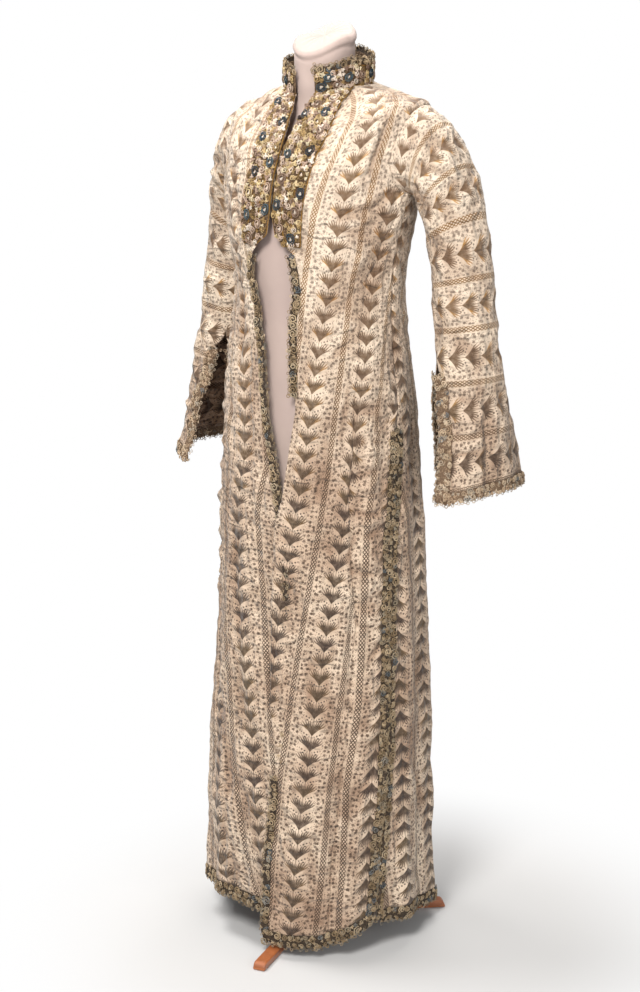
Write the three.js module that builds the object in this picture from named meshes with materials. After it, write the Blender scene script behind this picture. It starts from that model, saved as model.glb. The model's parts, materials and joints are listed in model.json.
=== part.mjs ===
// Long front-opening robe (entari) worn on a limbless dress form with a neck, on a wooden tripod.
// Millimetres, +Z up. The robe faces -Y, and the wearer's left is +X.
import * as THREE from "three";

// ---------------------------------------------------------------- driving sizes

const CLOTH_WALL = 2;
const LACE_WALL = 2.4;
const SEAM_GAP = 0.3;

const COLLAR_HEIGHT = 33;
const COLLAR_FLARE = 0.0011;
const COLLAR_COLUMNS = 40;
const COLLAR_ROWS = 4;
const NECK_LACE_WIDTH = 12;

const EDGE_LACE_WIDTH = 11;
const HEM_LACE_WIDTH = 25;
const CUFF_LACE_WIDTH = 20;
const SCALLOP_STEP = 26;
const SCALLOP_DEPTH = 0.32;

const BIB_WALL = 2;
const COIL_HEIGHT = 3;
const BIB_COLUMNS = 6;
const BIB_BOTTOM_LEVEL = 10.15;
const BIB_TOP_LEVEL = 15.8;
const BIB_ROWS = 28;

const BUTTON_RADIUS = 4;
const BUTTON_LEVEL = 14.4;

const LAP_OUT = 3.5;
const LAP_IN = 2;
const LAP_HEM_IN = 10;
const SHOULDER_DROP = 9;

const POLE_PLACE = new THREE.Vector2(0, -36);
const POLE_RADIUS = 16;
const HUB_RADIUS = 30;
const HUB_BOTTOM = 60;
const HUB_TOP = 170;
const LEG_REACH = 240;
const LEG_WIDTH = 22;
const LEG_THICKNESS = 13;
const LEG_LOW_FROM = 140;
const LEG_FLAT_FROM = 120;
const LEG_FIRST_TURN = 14.5;

const SQUARENESS = 0.064;
const DEGREE = Math.PI / 180;

// A list of rows becomes a list of objects whose fields have the given names.
function table(names, rows) {
  return rows.map((row) => Object.fromEntries(names.map((name, i) => [name, row[i]])));
}

// Hoops of the robe's body from the hem up to the neckline: half width, depth in front and
// behind, place of the widest line, and height in front, at the side and behind.
const ROBE_HOOPS = table(
  ["half", "front", "back", "centre", "zFront", "zSide", "zBack"],
  [
    [194, 200, 184, -8, 44, 44, 44],
    [194, 188, 182, -14, 150, 150, 150],
    [192, 176, 175, -15, 300, 300, 300],
    [187, 166, 166, -14, 450, 450, 450],
    [181, 157, 157, -14, 600, 600, 600],
    [176, 149, 149, -16, 760, 760, 760],
    [172, 143, 146, -19, 850, 850, 850],
    [166, 138, 140, -19, 940, 940, 940],
    [155, 132, 130, -18, 1040, 1040, 1040],
    [145, 127, 120, -16, 1130, 1130, 1130],
    [155, 131, 122, -14, 1200, 1200, 1200],
    [168, 134, 124, -12, 1262, 1265, 1268],
    [176, 140, 112, 4, 1315, 1350, 1330],
    [179, 142, 88, 26, 1362, 1430, 1390],
    [148, 124, 78, 25, 1394, 1444, 1420],
    [110, 96, 68, 18, 1422, 1455, 1448],
    [69, 67, 56, 10, 1445, 1461, 1477],
  ],
);

// Hoops of the dress form from its flat base up to the tilted top of the neck.
const FORM_HOOPS = table(
  ["half", "front", "back", "centre", "zFront", "zSide", "zBack"],
  [
    [112, 92, 96, -25, 640, 640, 640],
    [142, 112, 118, -24, 668, 668, 668],
    [152, 120, 128, -22, 760, 760, 760],
    [150, 118, 126, -22, 880, 880, 880],
    [138, 114, 116, -20, 1000, 1000, 1000],
    [127, 109, 104, -18, 1110, 1110, 1110],
    [138, 115, 107, -16, 1185, 1185, 1185],
    [153, 119, 110, -12, 1245, 1250, 1250],
    [158, 126, 98, 4, 1296, 1330, 1315],
    [158, 124, 76, 25, 1342, 1398, 1370],
    [130, 106, 66, 22, 1374, 1420, 1400],
    [92, 78, 54, 12, 1402, 1434, 1428],
    [57, 55, 50, 2, 1430, 1452, 1458],
    [49, 49, 48, -3, 1462, 1482, 1494],
    [49, 49, 48, -3, 1492, 1514, 1534],
    [50, 50, 49, -3, 1510, 1534, 1556],
    [44, 44, 43, -3, 1517, 1541, 1562],
  ],
);
const FORM_LEVELS = [0, 1, 2, 3, 4, 5, 6, 7, 8, 9, 10, 11, 12, 13, 14, 15, 16];
const FORM_SIDES = 28;

// The two front edges from hem to neckline, as turns from the centre front, in degrees.
const FRONT_EDGES = table(
  ["level", "right", "left"],
  [
    [0, 7.5, 8.5],
    [1, 9.5, 8.5],
    [2, 11.5, 10.5],
    [2.5, 11.5, 10],
    [3, 11.5, 5],
    [4, 11.5, 5],
    [4.8, 9, 6.5],
    [5.5, 6, 11],
    [6.3, 1.7, 14],
    [7.1, -3.5, 17],
    [8, -8, 16.5],
    [8.5, -11.7, 16],
    [9.1, -16.5, 19],
    [9.5, -19.5, 17],
    [9.9, -16, 14.5],
    [10.15, -11, 9],
    [10.45, -2.5, 3],
    [11, -0.6, 1.4],
    [13, -0.6, 1.6],
    [14, -1.2, 4.5],
    [15, -4, 8],
    [16, -14.7, 15.4],
  ],
);

// The gore's seam and the side seam, which is slit below the hip, as turns on the left side.
const SIDE_SEAMS = table(
  ["level", "gore", "side"],
  [
    [0, 40, 65],
    [1, 41, 67],
    [2, 45, 71],
    [3, 49, 73],
    [4, 53, 74.5],
    [4.7, 50, 76.5],
    [5.4, 49, 81],
    [6.3, 52, 84],
    [7.2, 54, 88],
    [8.2, 60, 90],
    [9, 66, 90],
    [10, 74, 90],
    [11.35, 84, 90],
  ],
);
const SLIT_TOP_LEVEL = 6.75;
const SLIT_FULL_LEVEL = 6.6;

// Armhole: an oval in turn and level, about the side line.
const ARMHOLE = { bottom: 11.35, top: 13, frontReach: 23, backReach: 26 };
const ARM_SIDES = 16;
const UNDERARM_LEVEL = ARMHOLE.bottom + 1e-6;

// Outer edge of the embroidered bib, as a turn on either side of the centre front.
const BIB_EDGES = table(
  ["level", "right", "left"],
  [
    [10.15, -22, 19],
    [10.7, -22.5, 19],
    [11.3, -20, 19],
    [12, -18, 20],
    [12.6, -17, 21],
    [13.3, -18, 25],
    [14.2, -22, 31],
    [14.9, -27, 39],
    [15.4, -36, 52],
    [15.8, -50, 66],
  ],
);

// Soft folds: turn at the hem end and at the top end, the levels between which the fold runs,
// its half width in degrees and its height, negative for a trough.
const FOLDS = table(
  ["turnLow", "turnHigh", "low", "high", "width", "height"],
  [
    [41, 63, 0, 9, 4, -6],
    [50, 72, 0, 8.6, 5, 5],
    [24, 34, 0, 7, 7, 3],
    [-40, -60, 0, 8.6, 5, -6],
    [-24, -34, 0, 8, 7, 4],
    [-54, -76, 0, 8.2, 6, 5],
    [84, 98, 0, 9.2, 6, 6],
    [99, 110, 0, 9.4, 5, -6],
    [116, 123, 0, 9, 7, 6],
    [134, 137, 0, 8.4, 6, -5],
    [152, 152, 0, 7.8, 8, 5],
    [172, 170, 0, 8.6, 6, -5],
    [190, 189, 0, 8, 8, 5],
    [209, 207, 0, 8.8, 6, -6],
    [228, 226, 0, 8.2, 7, 5],
    [247, 243, 0, 9.2, 6, -6],
    [266, 260, 0, 9, 6, 5],
    [40, 58, 10, 12.4, 9, -3],
  ],
);

// Lift of the hem above its lowest line, by turn round the body.
const HEM_LIFTS = table(
  ["turn", "lift"],
  [
    [-180, 6],
    [-120, 14],
    [-66, 42],
    [-20, 50],
    [7, 50],
    [8, 0],
    [34, 0],
    [66, 34],
    [120, 14],
    [180, 6],
  ],
);

// Left sleeve, armhole to cuff: the place of its underside and of its top, its middle line and
// half depth, and the turn at which the sleeve's seam lies and half of the slit's spread.
const SLEEVE = table(
  ["innerX", "innerZ", "outerX", "outerZ", "middle", "deep", "seam", "spread"],
  [
    [177, 1284, 203, 1416, 22, 62, -88, 0],
    [181, 1272, 229, 1387, 28, 62, -84, 0],
    [185, 1256, 254, 1338, 34, 60, -78, 0],
    [189, 1228, 272, 1284, 38, 57, -70, 0],
    [195, 1170, 288, 1198, 42, 54, -60, 0],
    [201, 1110, 297, 1128, 42, 53, -48, 0],
    [207, 1052, 306, 1066, 41, 54, -38, 0],
    [210, 1000, 316, 1014, 40, 60, -34, 16],
    [212, 950, 322, 966, 41, 68, -34, 26],
    [215, 900, 328, 920, 43, 78, -34, 34],
    [218, 852, 332, 876, 45, 90, -35, 36],
    [221, 806, 335, 836, 46, 100, -36, 37],
  ],
);
const SLEEVE_CLOSED_ROWS = 8;
const RIGHT_SLEEVE_SHIFT = { inward: 9, back: 5, drop: 8 };
const SLEEVE_STAND_OFF = 2.5;

const BODY_LEVELS_LOW = [
  0, 0.5, 1, 1.6, 2.1, 2.5, 3, 3.5, 4, 4.8, 5.5, 6.1, 6.6, 6.75, 7.3, 7.9, 8.5, 9.1, 9.5, 9.9,
  10.15, 10.45, 10.9,
];
const BODY_LEVELS_HIGH = [13.5, 14, 14.6, 15.3, 16];

const FRONT_COLUMNS = 8;
const GORE_COLUMNS = 4;
const BACK_COLUMNS = 20;

// ---------------------------------------------------------------- materials

function material(colour, roughness, metalness = 0) {
  return new THREE.MeshStandardMaterial({ color: colour, roughness, metalness });
}

const CLOTH_COLOUR = 0xcdb797;
const LACE_COLOUR = 0x8f7b5c;
const GOLD_COLOUR = 0x9c8243;
const CALICO_COLOUR = 0xe3d3cb;
const WOOD_COLOUR = 0xb9652f;
const METAL_COLOUR = 0x9a9a98;

// ---------------------------------------------------------------- curves and surfaces

// Smooth value between four evenly spaced ones.
function throughFour(a, b, c, d, u) {
  const slope = c - a;
  const bend = 2 * a - 5 * b + 4 * c - d;
  const twist = 3 * b - 3 * c + d - a;
  return 0.5 * (2 * b + u * (slope + u * (bend + u * twist)));
}

function hoopAt(hoops, level) {
  const last = hoops.length - 1;
  const i = Math.min(Math.floor(level), last - 1);
  const near = [i - 1, i, i + 1, i + 2].map((k) => hoops[Math.min(Math.max(k, 0), last)]);
  const hoop = {};
  for (const key of Object.keys(hoops[0])) {
    hoop[key] = throughFour(...near.map((h) => h[key]), level - i);
  }
  return hoop;
}

// Value of a column at a level, smooth between the rows of a table.
function valueAt(rows, by, key, at) {
  const last = rows.length - 1;
  if (at <= rows[0][by]) return rows[0][key];
  if (at >= rows[last][by]) return rows[last][key];
  const i = rows.findIndex((row) => row[by] > at) - 1;
  const u = (at - rows[i][by]) / (rows[i + 1][by] - rows[i][by]);
  const eased = u * u * (3 - 2 * u);
  const blend = (u + eased) / 2;
  return rows[i][key] + (rows[i + 1][key] - rows[i][key]) * blend;
}

function ease(from, to, at) {
  const u = Math.min(Math.max((at - from) / (to - from), 0), 1);
  return u * u * (3 - 2 * u);
}

// Point of a hoop: turn 0 is the centre front and 90 the wearer's left side.
function hoopPoint(hoop, turn) {
  const s = Math.sin(turn * DEGREE);
  const c = Math.cos(turn * DEGREE);
  const depth = c > 0 ? hoop.front : hoop.back;
  const zEnd = c > 0 ? hoop.zFront : hoop.zBack;
  return new THREE.Vector3(
    hoop.half * s * (1 + SQUARENESS * c * c),
    hoop.centre - depth * c * (1 + SQUARENESS * s * s),
    hoop.zSide + (zEnd - hoop.zSide) * c * c,
  );
}

function wrapped(turn) {
  return turn > 180 ? turn - 360 : turn;
}

function foldHeight(turn, level) {
  let height = 0;
  for (const fold of FOLDS) {
    if (level > fold.high || level < fold.low) continue;
    const along = (level - fold.low) / (fold.high - fold.low);
    const centre = fold.turnLow + (fold.turnHigh - fold.turnLow) * along;
    let away = turn - centre;
    if (away > 180) away -= 360;
    if (away < -180) away += 360;
    const strength = fold.low > 0 ? Math.sin(along * Math.PI) : 1 - ease(0.35, 1, along);
    height += fold.height * strength * Math.exp(-((away / fold.width) ** 2));
  }
  return height;
}

// The left front laps over the right one below the hip, whose hem hangs further in.
function lapShift(side, turn, level) {
  const low = 1 - ease(5.9, 6.7, level);
  if (side === "left") return LAP_OUT * low * (1 - ease(19, 32, turn));
  const hem = LAP_HEM_IN * (1 - ease(0, 1.8, level)) * ease(-60, -12, turn);
  if (side === "right") return -LAP_IN * low * ease(-16, -5, turn) - hem;
  return 0;
}

function hemLift(side, turn, level) {
  const place = side === "right" ? Math.min(turn, 6) : turn;
  const seen = side === "left" ? Math.max(place, 9) : place;
  return valueAt(HEM_LIFTS, "turn", "lift", wrapped(seen)) * (1 - ease(0, 1.4, level));
}

// The wearer's right shoulder sits a little lower than the left.
function shoulderDrop(turn, level) {
  const along = ease(11.4, 13, level) * (1 - ease(14, 16, level));
  return SHOULDER_DROP * along * Math.max(-Math.sin(turn * DEGREE), 0);
}

function bodyPoint(side, turn, level) {
  const hoop = hoopAt(ROBE_HOOPS, level);
  const point = hoopPoint(hoop, turn);
  const out = new THREE.Vector3(point.x, point.y - hoop.centre, 0).normalize();
  point.addScaledVector(out, foldHeight(turn, level) + lapShift(side, turn, level));
  point.z += hemLift(side, wrapped(turn), level) - shoulderDrop(turn, level);
  return point;
}

// Outward direction of the body's surface.
function bodyNormal(side, turn, level) {
  const stepTurn = 0.5;
  const stepLevel = 0.02;
  const low = Math.max(level - stepLevel, 0);
  const high = Math.min(level + stepLevel, ROBE_HOOPS.length - 1);
  const across = bodyPoint(side, turn + stepTurn, level).sub(bodyPoint(side, turn - stepTurn, level));
  const up = bodyPoint(side, turn, high).sub(bodyPoint(side, turn, low));
  return across.cross(up).normalize();
}

function bodyStation(side, turn, level, out = 0) {
  const normal = bodyNormal(side, turn, level);
  const point = bodyPoint(side, turn, level).addScaledVector(normal, out);
  return { point, normal };
}

// ---------------------------------------------------------------- closed walls

// Closed wall through a grid of stations, each a point with a normal. Rows up to closedRows
// join their last column to the first, and raise lifts the outer points.
function wallGeometry(grid, wall, closedRows = 0, raise = () => 0) {
  const vertices = [];
  const faces = [];
  const columns = grid[0].length;
  const outer = [];
  const inner = [];
  grid.forEach((row, i) => {
    outer.push([]);
    inner.push([]);
    row.forEach(({ point, normal }, j) => {
      if (i < closedRows && j === columns - 1) {
        outer[i].push(outer[i][0]);
        inner[i].push(inner[i][0]);
        return;
      }
      const lifted = wall / 2 + raise(i, j);
      outer[i].push(vertices.push(point.clone().addScaledVector(normal, lifted)) - 1);
      inner[i].push(vertices.push(point.clone().addScaledVector(normal, -wall / 2)) - 1);
    });
  });
  const quad = (a, b, c, d) => faces.push(a, b, c, a, c, d);
  for (let i = 0; i + 1 < grid.length; i += 1) {
    for (let j = 0; j + 1 < columns; j += 1) {
      quad(outer[i][j], outer[i][j + 1], outer[i + 1][j + 1], outer[i + 1][j]);
      quad(inner[i][j], inner[i + 1][j], inner[i + 1][j + 1], inner[i][j + 1]);
    }
    if (i + 1 < closedRows) continue;
    const end = columns - 1;
    quad(outer[i][0], outer[i + 1][0], inner[i + 1][0], inner[i][0]);
    quad(outer[i][end], inner[i][end], inner[i + 1][end], outer[i + 1][end]);
  }
  const top = grid.length - 1;
  for (let j = 0; j + 1 < columns; j += 1) {
    quad(outer[0][j], inner[0][j], inner[0][j + 1], outer[0][j + 1]);
    quad(outer[top][j], outer[top][j + 1], inner[top][j + 1], inner[top][j]);
  }
  return closedGeometry(vertices, faces);
}

// Indexed geometry with its faces turned outwards.
function closedGeometry(vertices, faces) {
  let volume = 0;
  for (let i = 0; i < faces.length; i += 3) {
    const [a, b, c] = faces.slice(i, i + 3).map((k) => vertices[k]);
    volume += a.dot(b.clone().cross(c));
  }
  const turned = volume < 0 ? faces.reverse() : faces;
  const geometry = new THREE.BufferGeometry().setFromPoints(vertices);
  geometry.setIndex(turned);
  geometry.computeVertexNormals();
  return geometry;
}

function mesh(name, geometry, look) {
  const made = new THREE.Mesh(geometry, look);
  made.name = name;
  return made;
}

// ---------------------------------------------------------------- cloth panels

function armholeLevels() {
  const middle = (ARMHOLE.bottom + ARMHOLE.top) / 2;
  const reach = (ARMHOLE.top - ARMHOLE.bottom) / 2;
  const steps = ARM_SIDES / 2;
  return Array.from({ length: steps + 1 }, (_, k) => {
    return middle - reach * Math.cos((k / steps) * Math.PI);
  });
}

const BODY_LEVELS = [...BODY_LEVELS_LOW, ...armholeLevels(), ...BODY_LEVELS_HIGH];

// Half width of the armhole's oval at a level, as a share of its reach.
function armholeShare(level) {
  const middle = (ARMHOLE.bottom + ARMHOLE.top) / 2;
  const share = (level - middle) / ((ARMHOLE.top - ARMHOLE.bottom) / 2);
  return Math.sqrt(Math.max(1 - share * share, 0));
}

// The turn that takes a given length along a hoop of the robe.
function asTurn(length, level, turn = 80) {
  const hoop = hoopAt(ROBE_HOOPS, level);
  return length / hoopPoint(hoop, turn - 0.5).distanceTo(hoopPoint(hoop, turn + 0.5));
}

function sideTurn(level) {
  return valueAt(SIDE_SEAMS, "level", "side", level);
}

function slitHalf(level) {
  const open = 1 - ease(SLIT_FULL_LEVEL, SLIT_TOP_LEVEL, level);
  return asTurn(SEAM_GAP / 2 + (EDGE_LACE_WIDTH + 3 * SEAM_GAP) * open, level, sideTurn(level));
}

function frontOuterTurn(level) {
  const gap = asTurn(SEAM_GAP / 2, level);
  if (level <= UNDERARM_LEVEL) return valueAt(SIDE_SEAMS, "level", "gore", level) - gap;
  return 90 - ARMHOLE.frontReach * armholeShare(level) - gap;
}

function backOuterTurn(level) {
  const gap = asTurn(SEAM_GAP / 2, level);
  if (level <= UNDERARM_LEVEL) return sideTurn(level) + slitHalf(level);
  return 90 + ARMHOLE.backReach * armholeShare(level) + gap;
}

function panelGrid(side, levels, columns, fromTurn, toTurn) {
  return levels.map((level) => {
    const from = fromTurn(level);
    const to = toTurn(level);
    return Array.from({ length: columns + 1 }, (_, j) => {
      return bodyStation(side, from + ((to - from) * j) / columns, level);
    });
  });
}

function frontGrid(side) {
  const sign = side === "left" ? 1 : -1;
  const edge = (level) => valueAt(FRONT_EDGES, "level", side, level);
  return panelGrid(side, BODY_LEVELS, FRONT_COLUMNS, edge, (level) => sign * frontOuterTurn(level));
}

function goreGrid(side) {
  const sign = side === "left" ? 1 : -1;
  const levels = BODY_LEVELS.filter((level) => level <= UNDERARM_LEVEL);
  const inner = (level) => {
    return sign * (valueAt(SIDE_SEAMS, "level", "gore", level) + asTurn(SEAM_GAP / 2, level));
  };
  const outer = (level) => {
    return sign * (sideTurn(level) - slitHalf(level));
  };
  return panelGrid(side, levels, GORE_COLUMNS, inner, outer);
}

function backGrid() {
  const right = (level) => 360 - backOuterTurn(level);
  return panelGrid("back", BODY_LEVELS, BACK_COLUMNS, backOuterTurn, right);
}

// ---------------------------------------------------------------- sleeves

// Outward directions for a grid of bare points, from its neighbours.
function withNormals(points, closedRows) {
  const rows = points.length;
  const columns = points[0].length;
  return points.map((row, i) =>
    row.map((point, j) => {
      const round = i < closedRows;
      const before = j > 0 ? row[j - 1] : round ? row[columns - 2] : row[0];
      const after = j + 1 < columns ? row[j + 1] : round ? row[1] : row[j];
      const above = points[Math.max(i - 1, 0)][j];
      const below = points[Math.min(i + 1, rows - 1)][j];
      const normal = after.clone().sub(before).cross(above.clone().sub(below)).normalize();
      return { point, normal };
    }),
  );
}

function sleeveGrid(side) {
  const sign = side === "left" ? 1 : -1;
  const inward = side === "left" ? 0 : RIGHT_SLEEVE_SHIFT.inward;
  const back = side === "left" ? 0 : RIGHT_SLEEVE_SHIFT.back;
  const drop = side === "left" ? 0 : RIGHT_SLEEVE_SHIFT.drop;
  const middle = (ARMHOLE.bottom + ARMHOLE.top) / 2;
  const reach = (ARMHOLE.top - ARMHOLE.bottom) / 2;
  const head = Array.from({ length: ARM_SIDES + 1 }, (_, j) => {
    const around = (-90 + (360 * j) / ARM_SIDES) * DEGREE;
    const width = Math.cos(around) > 0 ? ARMHOLE.frontReach : ARMHOLE.backReach;
    const turn = sign * (90 - width * Math.cos(around));
    const level = middle + reach * Math.sin(around);
    const panel = Math.cos(around) > 0 ? side : "back";
    return bodyStation(panel, turn, level, SLEEVE_STAND_OFF).point;
  });
  const rings = SLEEVE.map((row, i) => {
    const settle = i / (SLEEVE.length - 1);
    const shift = ease(0, 0.4, settle);
    return Array.from({ length: ARM_SIDES + 1 }, (_, j) => {
      const span = 360 - 2 * row.spread;
      const around = (row.seam + row.spread + (span * j) / ARM_SIDES) * DEGREE;
      const up = Math.sin(around);
      const x = (row.innerX + row.outerX) / 2 + ((row.outerX - row.innerX) / 2) * up;
      const z = (row.innerZ + row.outerZ) / 2 + ((row.outerZ - row.innerZ) / 2) * up;
      const y = row.middle + back * shift - row.deep * Math.cos(around);
      return new THREE.Vector3(sign * (x - inward * shift), y, z - drop * (1 - settle));
    });
  });
  return withNormals([head, ...rings], SLEEVE_CLOSED_ROWS);
}

// ---------------------------------------------------------------- collar, bib and button

function collarGrid() {
  const hoop = hoopAt(ROBE_HOOPS, ROBE_HOOPS.length - 1);
  const left = valueAt(FRONT_EDGES, "level", "left", ROBE_HOOPS.length - 1);
  const right = valueAt(FRONT_EDGES, "level", "right", ROBE_HOOPS.length - 1);
  const foot = CLOTH_WALL / 2 + SEAM_GAP;
  return Array.from({ length: COLLAR_ROWS + 1 }, (_, i) => {
    const height = foot + (COLLAR_HEIGHT * i) / COLLAR_ROWS;
    return Array.from({ length: COLLAR_COLUMNS + 1 }, (_, j) => {
      const turn = left + ((360 + right - left) * j) / COLLAR_COLUMNS;
      const base = hoopPoint(hoop, turn);
      const point = base.clone();
      point.x *= 1 + COLLAR_FLARE * height;
      point.y *= 1 + COLLAR_FLARE * height;
      point.z += height;
      const normal = new THREE.Vector3(base.x / hoop.half, base.y / hoop.front, 0).normalize();
      return { point, normal };
    });
  });
}

// Every second point of every second row carries a raised coil.
function coilHeight(i, j) {
  return i % 2 === 1 && j % 2 === 1 ? COIL_HEIGHT : 0;
}

function bibGrid(side) {
  const stand = CLOTH_WALL / 2 + 3 * SEAM_GAP + BIB_WALL / 2;
  return Array.from({ length: BIB_ROWS + 1 }, (_, i) => {
    const level = BIB_BOTTOM_LEVEL + ((BIB_TOP_LEVEL - BIB_BOTTOM_LEVEL) * i) / BIB_ROWS;
    const from = valueAt(FRONT_EDGES, "level", side, level);
    const to = valueAt(BIB_EDGES, "level", side, level);
    return Array.from({ length: BIB_COLUMNS + 1 }, (_, j) => {
      return bodyStation(side, from + ((to - from) * j) / BIB_COLUMNS, level, stand);
    });
  });
}

function button() {
  const turn = valueAt(FRONT_EDGES, "level", "left", BUTTON_LEVEL) + 2;
  const out = CLOTH_WALL / 2 + 4 * SEAM_GAP + BIB_WALL + COIL_HEIGHT + BUTTON_RADIUS;
  const { point } = bodyStation("left", turn, BUTTON_LEVEL, out);
  const made = mesh(
    "button_knot",
    new THREE.SphereGeometry(BUTTON_RADIUS, 10, 8),
    material(GOLD_COLOUR, 0.5, 0.5),
  );
  made.position.copy(point);
  return made;
}

// ---------------------------------------------------------------- lace

// Edge of a grid as a list of stations with the direction that leads off the cloth.
function gridEdge(grid, edge, rows = () => true) {
  const last = grid[0].length - 1;
  const list = [];
  if (edge === "first" || edge === "last") {
    const at = edge === "first" ? 0 : last;
    const beside = edge === "first" ? 1 : last - 1;
    grid.forEach((row, i) => {
      if (!rows(i)) return;
      const off = row[at].point.clone().sub(row[beside].point).normalize();
      list.push({ ...row[at], off });
    });
    return list;
  }
  const at = edge === "bottom" ? 0 : grid.length - 1;
  const beside = edge === "bottom" ? 1 : grid.length - 2;
  grid[at].forEach((station, j) => {
    const off = station.point.clone().sub(grid[beside][j].point).normalize();
    list.push({ ...station, off });
  });
  return list;
}

// Stations of a lace along an edge, with a scallop every second step.
function laceAlong(edge, width, start = 0) {
  const stations = [];
  let count = start;
  const add = (a, b, u) => {
    const scallop = count % 2 === 0 ? 1 : 1 - SCALLOP_DEPTH;
    const off = a.off.clone().lerp(b.off, u).normalize();
    stations.push({
      point: a.point.clone().lerp(b.point, u),
      normal: a.normal.clone().lerp(b.normal, u).normalize(),
      near: off.clone().multiplyScalar(SEAM_GAP),
      far: off.multiplyScalar(width * scallop),
    });
    count += 1;
  };
  for (let i = 0; i + 1 < edge.length; i += 1) {
    const length = edge[i].point.distanceTo(edge[i + 1].point);
    const steps = Math.max(1, Math.round(length / SCALLOP_STEP));
    for (let k = 0; k < steps; k += 1) add(edge[i], edge[i + 1], k / steps);
  }
  add(edge[edge.length - 2], edge[edge.length - 1], 1);
  return stations;
}

// Square corner between the end of one lace and the start of the next.
function laceCorner(before, after, widthBefore, widthAfter) {
  const a = before[before.length - 1];
  const b = after[0];
  const sum = (la, lb) => a.off.clone().multiplyScalar(la).addScaledVector(b.off, lb);
  return {
    point: a.point.clone(),
    normal: a.normal.clone().add(b.normal).normalize(),
    near: sum(SEAM_GAP, SEAM_GAP),
    far: sum(widthBefore * 0.9, widthAfter * 0.9),
  };
}

function laceGeometry(stations) {
  const grid = stations.map(({ point, normal, near, far }) => [
    { point: point.clone().add(near), normal },
    { point: point.clone().add(far), normal },
  ]);
  return wallGeometry(grid, LACE_WALL);
}

function laceMesh(name, stations) {
  return mesh(name, laceGeometry(stations), material(LACE_COLOUR, 0.6, 0.35));
}

// Lace round a corner: down one edge, along the next and, where given, up a third.
function corneredLace(parts) {
  const stations = [];
  parts.forEach(({ edge, width }, k) => {
    if (k > 0) {
      const before = parts[k - 1];
      stations.push(laceCorner(before.edge, edge, before.width, width));
    }
    stations.push(...laceAlong(edge, width));
  });
  return stations;
}

function levelIndex(level) {
  return BODY_LEVELS.findIndex((value) => Math.abs(value - level) < 1e-6);
}

function frontLaces(left, right) {
  const openFrom = levelIndex(9.9);
  const leftHidden = [levelIndex(2.1), levelIndex(7.3)];
  const hemLeft = gridEdge(left, "bottom");
  const hemRight = gridEdge(right, "bottom");
  const leftLow = gridEdge(left, "first", (i) => i <= leftHidden[0]).reverse();
  const leftHigh = gridEdge(left, "first", (i) => i >= leftHidden[1] && i <= openFrom);
  const rightEdge = gridEdge(right, "first", (i) => i <= openFrom).reverse();
  return [
    laceMesh("lace_front_left_upper", laceAlong(leftHigh, EDGE_LACE_WIDTH)),
    laceMesh(
      "lace_front_left_lower",
      corneredLace([
        { edge: leftLow, width: EDGE_LACE_WIDTH },
        { edge: hemLeft, width: HEM_LACE_WIDTH },
      ]),
    ),
    laceMesh(
      "lace_front_right",
      corneredLace([
        { edge: rightEdge, width: EDGE_LACE_WIDTH },
        { edge: hemRight, width: HEM_LACE_WIDTH },
      ]),
    ),
  ];
}

function sideLaces(goreLeft, goreRight, back) {
  const slit = (i) => i <= levelIndex(SLIT_FULL_LEVEL);
  const goreLace = (side, grid) => {
    return laceMesh(
      `lace_gore_${side}`,
      corneredLace([
        { edge: gridEdge(grid, "bottom"), width: HEM_LACE_WIDTH },
        { edge: gridEdge(grid, "last", slit), width: EDGE_LACE_WIDTH },
      ]),
    );
  };
  const backLace = laceMesh(
    "lace_back",
    corneredLace([
      { edge: gridEdge(back, "first", slit).reverse(), width: EDGE_LACE_WIDTH },
      { edge: gridEdge(back, "bottom"), width: HEM_LACE_WIDTH },
      { edge: gridEdge(back, "last", slit), width: EDGE_LACE_WIDTH },
    ]),
  );
  return [goreLace("left", goreLeft), goreLace("right", goreRight), backLace];
}

function sleeveLace(side, grid) {
  const open = (i) => i >= SLEEVE_CLOSED_ROWS;
  return laceMesh(
    `lace_sleeve_${side}`,
    corneredLace([
      { edge: gridEdge(grid, "first", open), width: EDGE_LACE_WIDTH },
      { edge: gridEdge(grid, "top"), width: CUFF_LACE_WIDTH },
      { edge: gridEdge(grid, "last", open).reverse(), width: EDGE_LACE_WIDTH },
    ]),
  );
}

// ---------------------------------------------------------------- dress form and stand

function formGeometry() {
  const vertices = [];
  const faces = [];
  const rings = FORM_LEVELS.map((level) => {
    const hoop = hoopAt(FORM_HOOPS, level);
    return Array.from({ length: FORM_SIDES }, (_, j) => {
      return vertices.push(hoopPoint(hoop, (360 * j) / FORM_SIDES)) - 1;
    });
  });
  const centreOf = (ring) => {
    const centre = new THREE.Vector3();
    ring.forEach((k) => centre.add(vertices[k]));
    return vertices.push(centre.divideScalar(ring.length)) - 1;
  };
  const base = centreOf(rings[0]);
  const crown = centreOf(rings[rings.length - 1]);
  for (let j = 0; j < FORM_SIDES; j += 1) {
    const next = (j + 1) % FORM_SIDES;
    for (let i = 0; i + 1 < rings.length; i += 1) {
      faces.push(rings[i][j], rings[i][next], rings[i + 1][next]);
      faces.push(rings[i][j], rings[i + 1][next], rings[i + 1][j]);
    }
    faces.push(base, rings[0][next], rings[0][j]);
    faces.push(crown, rings[rings.length - 1][j], rings[rings.length - 1][next]);
  }
  return closedGeometry(vertices, faces);
}

function pole() {
  const bottom = HUB_TOP + SEAM_GAP;
  const top = FORM_HOOPS[0].zFront - SEAM_GAP;
  const geometry = new THREE.CylinderGeometry(POLE_RADIUS, POLE_RADIUS, top - bottom, 20);
  const made = mesh("pole", geometry, material(METAL_COLOUR, 0.35, 0.9));
  made.rotation.x = Math.PI / 2;
  made.position.set(POLE_PLACE.x, POLE_PLACE.y, (top + bottom) / 2);
  return made;
}

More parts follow.
